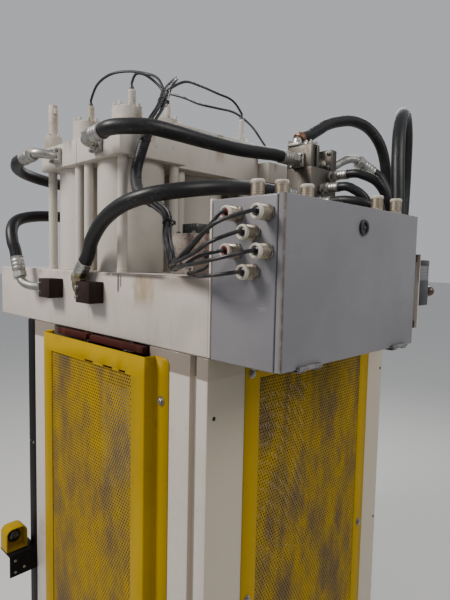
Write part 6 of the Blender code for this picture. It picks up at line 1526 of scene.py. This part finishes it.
# Control box: 3 mm sheet, folded and welded, with a rolled lip round its open side, on a cream
# backing plate. Powder-coated grey, dusty, with rust creeping along the door's front edge.
def make_grey_paint():
    made, tree, shader, place = new_finish("grey_powder", 0.42, coat=0.04)
    shader.inputs["Specular IOR Level"].default_value = 0.35
    parts = apart(tree, place)
    cloud = effect(tree, "blotches", place, scale=3.0, low=0.36, high=0.7)
    drawn = shader_node(tree, "Mapping", {"Vector": place, "Scale": (2.0, 2.0, 7.0)}).outputs[0]
    smear = effect(tree, "blotches", drawn, scale=3.5, detail=8.0, low=0.58, high=0.8)
    specks = effect(tree, "blotches", place, scale=85.0, detail=3.0, low=0.72, high=0.78)
    rub = effect(tree, "scratches", place, scale=20.0, width=0.008, cover=0.58)
    colour = mixed(tree, cloud, (0.182, 0.177, 0.19), (0.156, 0.151, 0.162))
    colour = mixed(tree, times(tree, smear, 0.35), colour, (0.235, 0.225, 0.215))
    colour = mixed(tree, times(tree, rub, 0.3), colour, (0.28, 0.28, 0.28))
    near_edge = ranged(tree, parts["Y"], -0.4768, -0.47, 1.0, 0.0)
    on_door = ranged(tree, parts["X"], 0.884, 0.8925)
    ragged = effect(tree, "blotches", place, scale=46.0, detail=8.0, low=0.26, high=0.56)
    edge_rust = times(tree, times(tree, near_edge, on_door), ragged)
    rust = math_node(tree, "MAXIMUM", edge_rust, times(tree, specks, 0.5))
    feed(tree, mixed(tree, rust, colour, (0.09, 0.066, 0.05)), shader, "Base Color")
    feed(tree, ranged(tree, math_node(tree, "MAXIMUM", smear, rust), start=0.4, end=0.72), shader, "Roughness")
    bumped(tree, shader, effect(tree, "spray_grain", place, scale=340.0, waves=24.0), 0.14, 0.0008)
    return made


grey_paint = make_grey_paint()
BOX_LOW, BOX_HIGH = (0.6713, -0.477, 1.75), (0.8723, 0.175, 2.142)
BOX_SHEET = 0.0028
KNUCKLE_OFFSET, KNUCKLE_HALF = 0.03, 0.0144
HINGE_X, HINGE_Z = 0.8999, 1.756
KNUCKLE_CENTRES = (-0.377, 0.075)


def add_open_pan(work, low, high, lip, edge):
    """A box of sheet without its face on +X, with a lip turned in round the opening."""
    made = bmesh.ops.create_cube(work, size=1.0)["verts"]
    bmesh.ops.scale(work, vec=[b - a for a, b in zip(low, high)], verts=made)
    bmesh.ops.translate(work, vec=[(a + b) / 2 for a, b in zip(low, high)], verts=made)
    faces = list({face for v in made for face in v.link_faces})
    mouth = max(faces, key=lambda face: face.calc_center_median().x)
    bmesh.ops.inset_region(work, faces=[mouth], thickness=lip, use_even_offset=True)
    bmesh.ops.delete(work, geom=[mouth], context="FACES_ONLY")
    sharp = [e for e in work.edges if len(e.link_faces) == 2 and e.calc_face_angle(0) > math.radians(40)]
    bmesh.ops.bevel(work, geom=sharp, offset=edge, segments=3, profile=0.5, affect="EDGES")


def add_knuckle(work, start, end):
    turn_up(work, [(0.0036, start), (0.0052, start), (0.006, start + 0.0008), (0.006, end - 0.0008), (0.0052, end),
                   (0.0036, end)], 20, (HINGE_X, 0, HINGE_Z), (0, 1, 0), ring=True)


work = bmesh.new()
add_open_pan(work, BOX_LOW, BOX_HIGH, 0.014, 0.004)
shell = new_piece("box_shell", work, grey_paint, "grey_paint", stands_for=("enclosure_body",))
sheet = shell.modifiers.new("sheet", "SOLIDIFY")
sheet.thickness = BOX_SHEET
sheet.offset = -1.0
work = bmesh.new()
for centre in KNUCKLE_CENTRES:
    for offset in (-KNUCKLE_OFFSET, KNUCKLE_OFFSET):
        start, end = centre + offset - KNUCKLE_HALF, centre + offset + KNUCKLE_HALF
        add_knuckle(work, start, end)
        add_block(work, (0.865, start + 0.001, 1.7468), (0.9015, end - 0.001, 1.7494), 0.0006, 1)
# Painted shade: the hinge gets the dark plated finish, darker than the box's grey, so that it reads as the shadow under
# the box.
new_piece("box_hinge_leaves", work, dark_fastener_and_hinge_shade, "grey_paint")
blocks_piece("box_backing_plate", [
    ((0.6643, -0.4793, 1.7535), (0.6713, 0.1785, 2.1445), 0.0012),
], cream_paint, "cream_paint")
work = bmesh.new()
for z in (1.86, 1.96, 2.06):
    add_block(work, (0.6742, -0.44, z), (0.6852, 0.14, z + 0.03), 0.001, 1)
add_block(work, (0.6852, -0.43, 1.8), (0.6872, 0.13, 2.1), 0.0008, 1)
new_piece("box_mounting_panel", work, zinc_plate, "bare_steel")


# Box door: a shallow pan of the same sheet, folded and welded and hinged along its lower edge, that
# closes on a black rubber seal.
door_body = body_of(nodes["enclosure_door"])[0]
soft_piece("box_door_pan", "enclosure_door", 0.0013, grey_paint, "grey_paint", least=0.05)
work = bmesh.new()
for near, far, low, high in ((-0.475, -0.467, 1.756, 2.14), (0.165, 0.173, 1.756, 2.14),
                             (-0.475, 0.173, 1.756, 1.764), (-0.475, 0.173, 2.132, 2.14)):
    add_block(work, (0.8726, near, low), (0.875, far, high), 0.0006, 1)
new_piece("box_door_seal", work, cable_jacket, "black_rubber", body=door_body)


# Door latch: a quarter-turn lock moulded in black plastic, a raised ring round a sunk double-bit
# insert, with a cam on its shaft behind the door.
BLACK_LOOKS = ((0.008, 0.008, 0.009), (0.026, 0.025, 0.024), (40.0, 0.42, 0.72), (500.0, 50.0, 0.06, 0.0004), 0.15)
black_plastic = make_dusty_black("black_plastic", 0.3, *BLACK_LOOKS, duller=(0.3, 0.52))
LATCH_PLACE = (0.8933, -0.151, 2.088)
CAM_BACK = 0.8654 - 0.8933
work = bmesh.new()
turn_up(work, [(0, CAM_BACK), (0.009, CAM_BACK), (0.009, 0.0003), (0.0205, 0.0003), (0.0205, 0.0052), (0.019, 0.007),
               (0.0142, 0.007), (0.0132, 0.0056), (0.0128, 0.002), (0, 0.002)], 40, LATCH_PLACE, (1, 0, 0))
turn_up(work, [(0, 0.0015), (0.0055, 0.0015), (0.0055, 0.005), (0.0048, 0.0058), (0, 0.0058)], 20, LATCH_PLACE,
        (1, 0, 0))
add_block(work, (0.895, -0.162, 2.0866), (0.8988, -0.14, 2.0894), 0.0004, 1)
add_block(work, (0.8654, -0.16, 2.081), (0.8684, -0.107, 2.095), 0.0008, 1)
latch_body = body_of(nodes["door_latch"])[0]
new_piece("door_latch_lock", work, black_plastic, "black_plastic", body=latch_body, stands_for=("door_latch",))


# Cable glands: a dark lock nut, a hexagon and ribbed body in dull nickel, and a pale dome that is
# screwed down on a dark seal. Six hold the cables at the box's side, and five stand on its top.
pale_nylon = make_paint("pale_nylon", (0.5, 0.46, 0.4), (0.42, 0.38, 0.32), (0.25, 0.19, 0.13), (0.18, 0.12, 0.08),
                        0.46, top=2.2, reach=0.1, grime=0.54, coat=0.05)
dull_nickel = make_plated("dull_nickel", (0.44, 0.385, 0.3), (0.29, 0.25, 0.19), 0.4)
GLANDS = {"upper_left": (0.7569, 2.102), "upper_right": (0.8486, 2.1008), "middle": (0.8089, 2.0581),
          "lower_left": (0.7569, 2.017), "lower_right": (0.8486, 2.017), "bottom": (0.8107, 1.9711)}
SIDE_GLAND_LENGTH, TOP_GLAND_LENGTH = 0.045, 0.05
BOX_NEAR, BOX_TOP = -0.477, 2.142
TOP_GLANDS = [(0.7519, -0.4053), (0.7897, -0.3603), (0.7997, -0.2703), (0.8399, 0.0179), (0.8498, 0.115)]
nuts, bodies, domes, seals = bmesh.new(), bmesh.new(), bmesh.new(), bmesh.new()


def add_gland(spot, along, length, turn):
    turn_up(nuts, [(0, 0.0003), (0.019, 0.0003), (0.0198, 0.0012), (0.0198, 0.004), (0.0186, 0.0052), (0, 0.0052)], 6,
            spot, along, turn)
    turn_up(bodies, [(0, 0.005), (0.0175, 0.005), (0.0186, 0.0062), (0.0186, 0.0122), (0.0172, 0.0136), (0, 0.0136)], 6,
            spot, along, turn + 0.4)
    profile, z = [(0, 0.013), (0.016, 0.013)], 0.014
    while z < length - 0.0115:
        profile += [(0.017, z), (0.017, z + 0.0034), (0.016, z + 0.004), (0.016, z + 0.005)]
        z += 0.0058
    profile += [(0.016, length - 0.008), (0, length - 0.008)]
    turn_up(bodies, profile, 36, spot, along)
    turn_up(domes, [(0.011, length - 0.009), (0.017, length - 0.009), (0.0176, length - 0.0078),
                    (0.0176, length - 0.004),
                    (0.0168, length - 0.0014), (0.015, length), (0.0124, length - 0.0003), (0.0108, length - 0.002),
                    (0.01, length - 0.0085)], 36, spot, along, ring=True)


for number, (x, z) in enumerate(GLANDS.values()):
    add_gland((x, BOX_NEAR, z), (0, -1, 0), SIDE_GLAND_LENGTH, number * 0.7)
    turn_up(seals, [(0, 0.034), (0.0104, 0.034), (0.01, 0.04), (0.0062, 0.0418), (0.0046, 0.0405), (0.0046, 0.0452),
                    (0, 0.0452)], 24, (x, BOX_NEAR, z), (0, -1, 0))
for number, (x, y) in enumerate(TOP_GLANDS):
    add_gland((x, y, BOX_TOP), (0, 0, 1), TOP_GLAND_LENGTH, number * 0.9)
    turn_up(seals, [(0, 0.038), (0.0104, 0.038), (0.0102, 0.0455), (0.007, 0.047), (0, 0.047)], 24, (x, y, BOX_TOP))
new_piece("gland_lock_nuts", nuts, dark_fastener_and_hinge_shade, "black_plastic")
new_piece("gland_bodies", bodies, dull_nickel, "bare_steel")
new_piece("gland_domes", domes, pale_nylon, "cream_paint", sharp=50)
new_piece("gland_seals", seals, nylon_tie, "black_rubber")
red_seal = make_paint("red_seal", (0.16, 0.018, 0.012), (0.1, 0.012, 0.01), (0.04, 0.012, 0.01), (0.05, 0.02, 0.01),
                      0.5, top=2.2, reach=0.1, coat=0.0)
work = bmesh.new()
for label in ("upper_left", "lower_left"):
    x, z = GLANDS[label]
    turn_up(work, [(0.0052, 0.0412), (0.0101, 0.0402), (0.0104, 0.0432), (0.0095, 0.0436), (0.006, 0.0424)], 24,
            (x, BOX_NEAR, z), (0, -1, 0), ring=True)
new_piece("gland_red_seals", work, red_seal, "maroon_paint")


# Side switch: a moulded housing on a painted strip that two blocks hold off the box, with a black
# cap, a grey middle and a black lower part, whose slot lets its ball-ended lever swing.
blocks_piece("switch_strip", [
    ((0.83, 0.2613, 1.79), (0.87, 0.2673, 2.03), 0.0015),
], cream_paint, "cream_paint", stands_for=("switch_body",))
work = bmesh.new()
for z in (1.802, 2.018):
    add_block(work, (0.838, 0.1753, z - 0.012), (0.862, 0.262, z + 0.012), 0.002)
add_block(work, (0.832, 0.2668, 1.862), (0.842, 0.3423, 1.946), 0.0025, 3)
add_block(work, (0.858, 0.2668, 1.862), (0.868, 0.3423, 1.946), 0.0025, 3)
add_block(work, (0.84, 0.2668, 1.864), (0.86, 0.314, 1.945), 0.0008, 1)
add_block(work, (0.84, 0.312, 1.864), (0.86, 0.3405, 1.8735), 0.0008, 1)
add_block(work, (0.84, 0.312, 1.9385), (0.86, 0.3405, 1.945), 0.0008, 1)
add_block(work, (0.8315, 0.2668, 1.992), (0.8685, 0.343, 2.012), 0.004, 3)
new_piece("switch_housing", work, black_plastic, "black_plastic")
grey_moulding = make_paint("grey_moulding", (0.16, 0.16, 0.17), (0.12, 0.12, 0.13), (0.07, 0.065, 0.06),
                           (0.08, 0.06, 0.05), 0.45, top=1.99, reach=0.04, coat=0.05)
work = bmesh.new()
add_block(work, (0.8325, 0.2668, 1.9445), (0.8675, 0.3418, 1.9935), 0.002)
for z in (1.953, 1.962, 1.971, 1.98):
    add_block(work, (0.8318, 0.276, z), (0.8682, 0.333, z + 0.004), 0.0008, 1)
new_piece("switch_middle", work, grey_moulding, "grey_paint")
strip_spots = [((0.85, 0.2672, z), (0, 1, 0)) for z in (1.802, 2.0215)]
set_bolts("switch_strip_screws", strip_spots, zinc_plate, "bare_steel",
          across=0.0058, height=0.0042, washer=0.007, sides=14)
LEVER_AXIS = (0.85, 0.3283, 1.906)
BALL_RADIUS, BALL_CENTRE = 0.017, 0.066
work = bmesh.new()
turn_up(work, [(0, -0.0077), (0.0128, -0.0077), (0.014, -0.0065), (0.014, 0.0065), (0.0128, 0.0077), (0, 0.0077)], 36,
        LEVER_AXIS, (1, 0, 0))
lever_body = body_of(nodes["switch_lever"])[0]
turn_up(work, [(0, 0.004), (0.005, 0.004), (0.0046, 0.04), (0.0046, 0.052), (0, 0.052)], 20, LEVER_AXIS, (0, 1, 0))
new_piece("switch_lever_arm", work, dark_fastener_and_hinge_shade, "brown_knob", body=lever_body, stands_for=("switch_lever",))
brown_knob = make_paint("brown_phenolic", (0.07, 0.034, 0.018), (0.05, 0.024, 0.013), (0.03, 0.012, 0.008),
                        (0.05, 0.02, 0.01), 0.24, top=1.93, reach=0.02, coat=0.5)
work = bmesh.new()
knob = [(0, 0.0495), (0.0075, 0.0495), (0.008, 0.051)]
knob += [(BALL_RADIUS * math.sin(math.radians(a)), BALL_CENTRE - BALL_RADIUS * math.cos(math.radians(a)))
         for a in range(32, 180, 9)]
turn_up(work, knob + [(0, 0.083)], 36, LEVER_AXIS, (0, 1, 0))
new_piece("switch_lever_ball", work, brown_knob, "brown_knob", body=lever_body)


# Operator station: a square black tube on the base plate beside the front left column, with a bent
# plate riveted to it that carries the palm button in its yellow arch.
black_paint = make_paint("black_enamel", (0.01, 0.009, 0.01), (0.007, 0.0065, 0.007), (0.028, 0.024, 0.021),
                         (0.07, 0.035, 0.02), 0.46, top=1.75, reach=0.08, grime=0.62, coat=0.0)
dulled(black_paint, 0.06)
blocks_piece("operator_post_tube", [
    ((-0.3973, -0.477, 0.0503), (-0.3333, -0.427, 1.7497), 0.005, 3),
], black_paint, "black_paint", stands_for=("operator_post",))
blocks_piece("operator_plate", [
    ((-0.3396, -0.585, 0.73), (-0.3336, -0.474, 0.817), 0.0012),
    ((-0.4303, -0.585, 0.811), (-0.3338, -0.474, 0.817), 0.0012),
], black_paint, "black_paint")
rivet_spots = [((-0.3337, y, z), (1, 0, 0)) for y, z in ((-0.565, 0.795), (-0.53, 0.757), (-0.565, 0.748))]
rivet_spots += [((x, -0.4768, z), (0, -1, 0)) for x in (-0.3853, -0.3523) for z in (0.42, 1.25)]
set_bolts("operator_plate_rivets", rivet_spots, zinc_plate, "bare_steel",
          across=0.0046, height=0.0018, washer=0.005, rise=0.0002, sides=14)
soft_piece("button_shroud", "switch_shroud", 0.0012, yellow_paint, "yellow_paint", least=0.008, sharp=40)
BUTTON_PLACE = (-0.405, -0.5427, 0.8633)
work = bmesh.new()
profile = [(0, -0.0117), (0.01, -0.0117), (0.01, 0.0), (0.0235, 0.0), (0.0255, 0.0012), (0.026, 0.004),
           (0.0256, 0.0082), (0.0235, 0.0125), (0.0195, 0.0155), (0.014, 0.0172), (0.007, 0.0179), (0, 0.018)]
turn_up(work, profile, 48, BUTTON_PLACE, (1, 0, 0))
palm_black = make_dusty_black("palm_button_black", 0.16, *BLACK_LOOKS, duller=(0.16, 0.38))
button_body = body_of(nodes["palm_button"])[0]
new_piece("palm_button_cap", work, palm_black, "black_plastic", body=button_body, stands_for=("palm_button",), sharp=50)
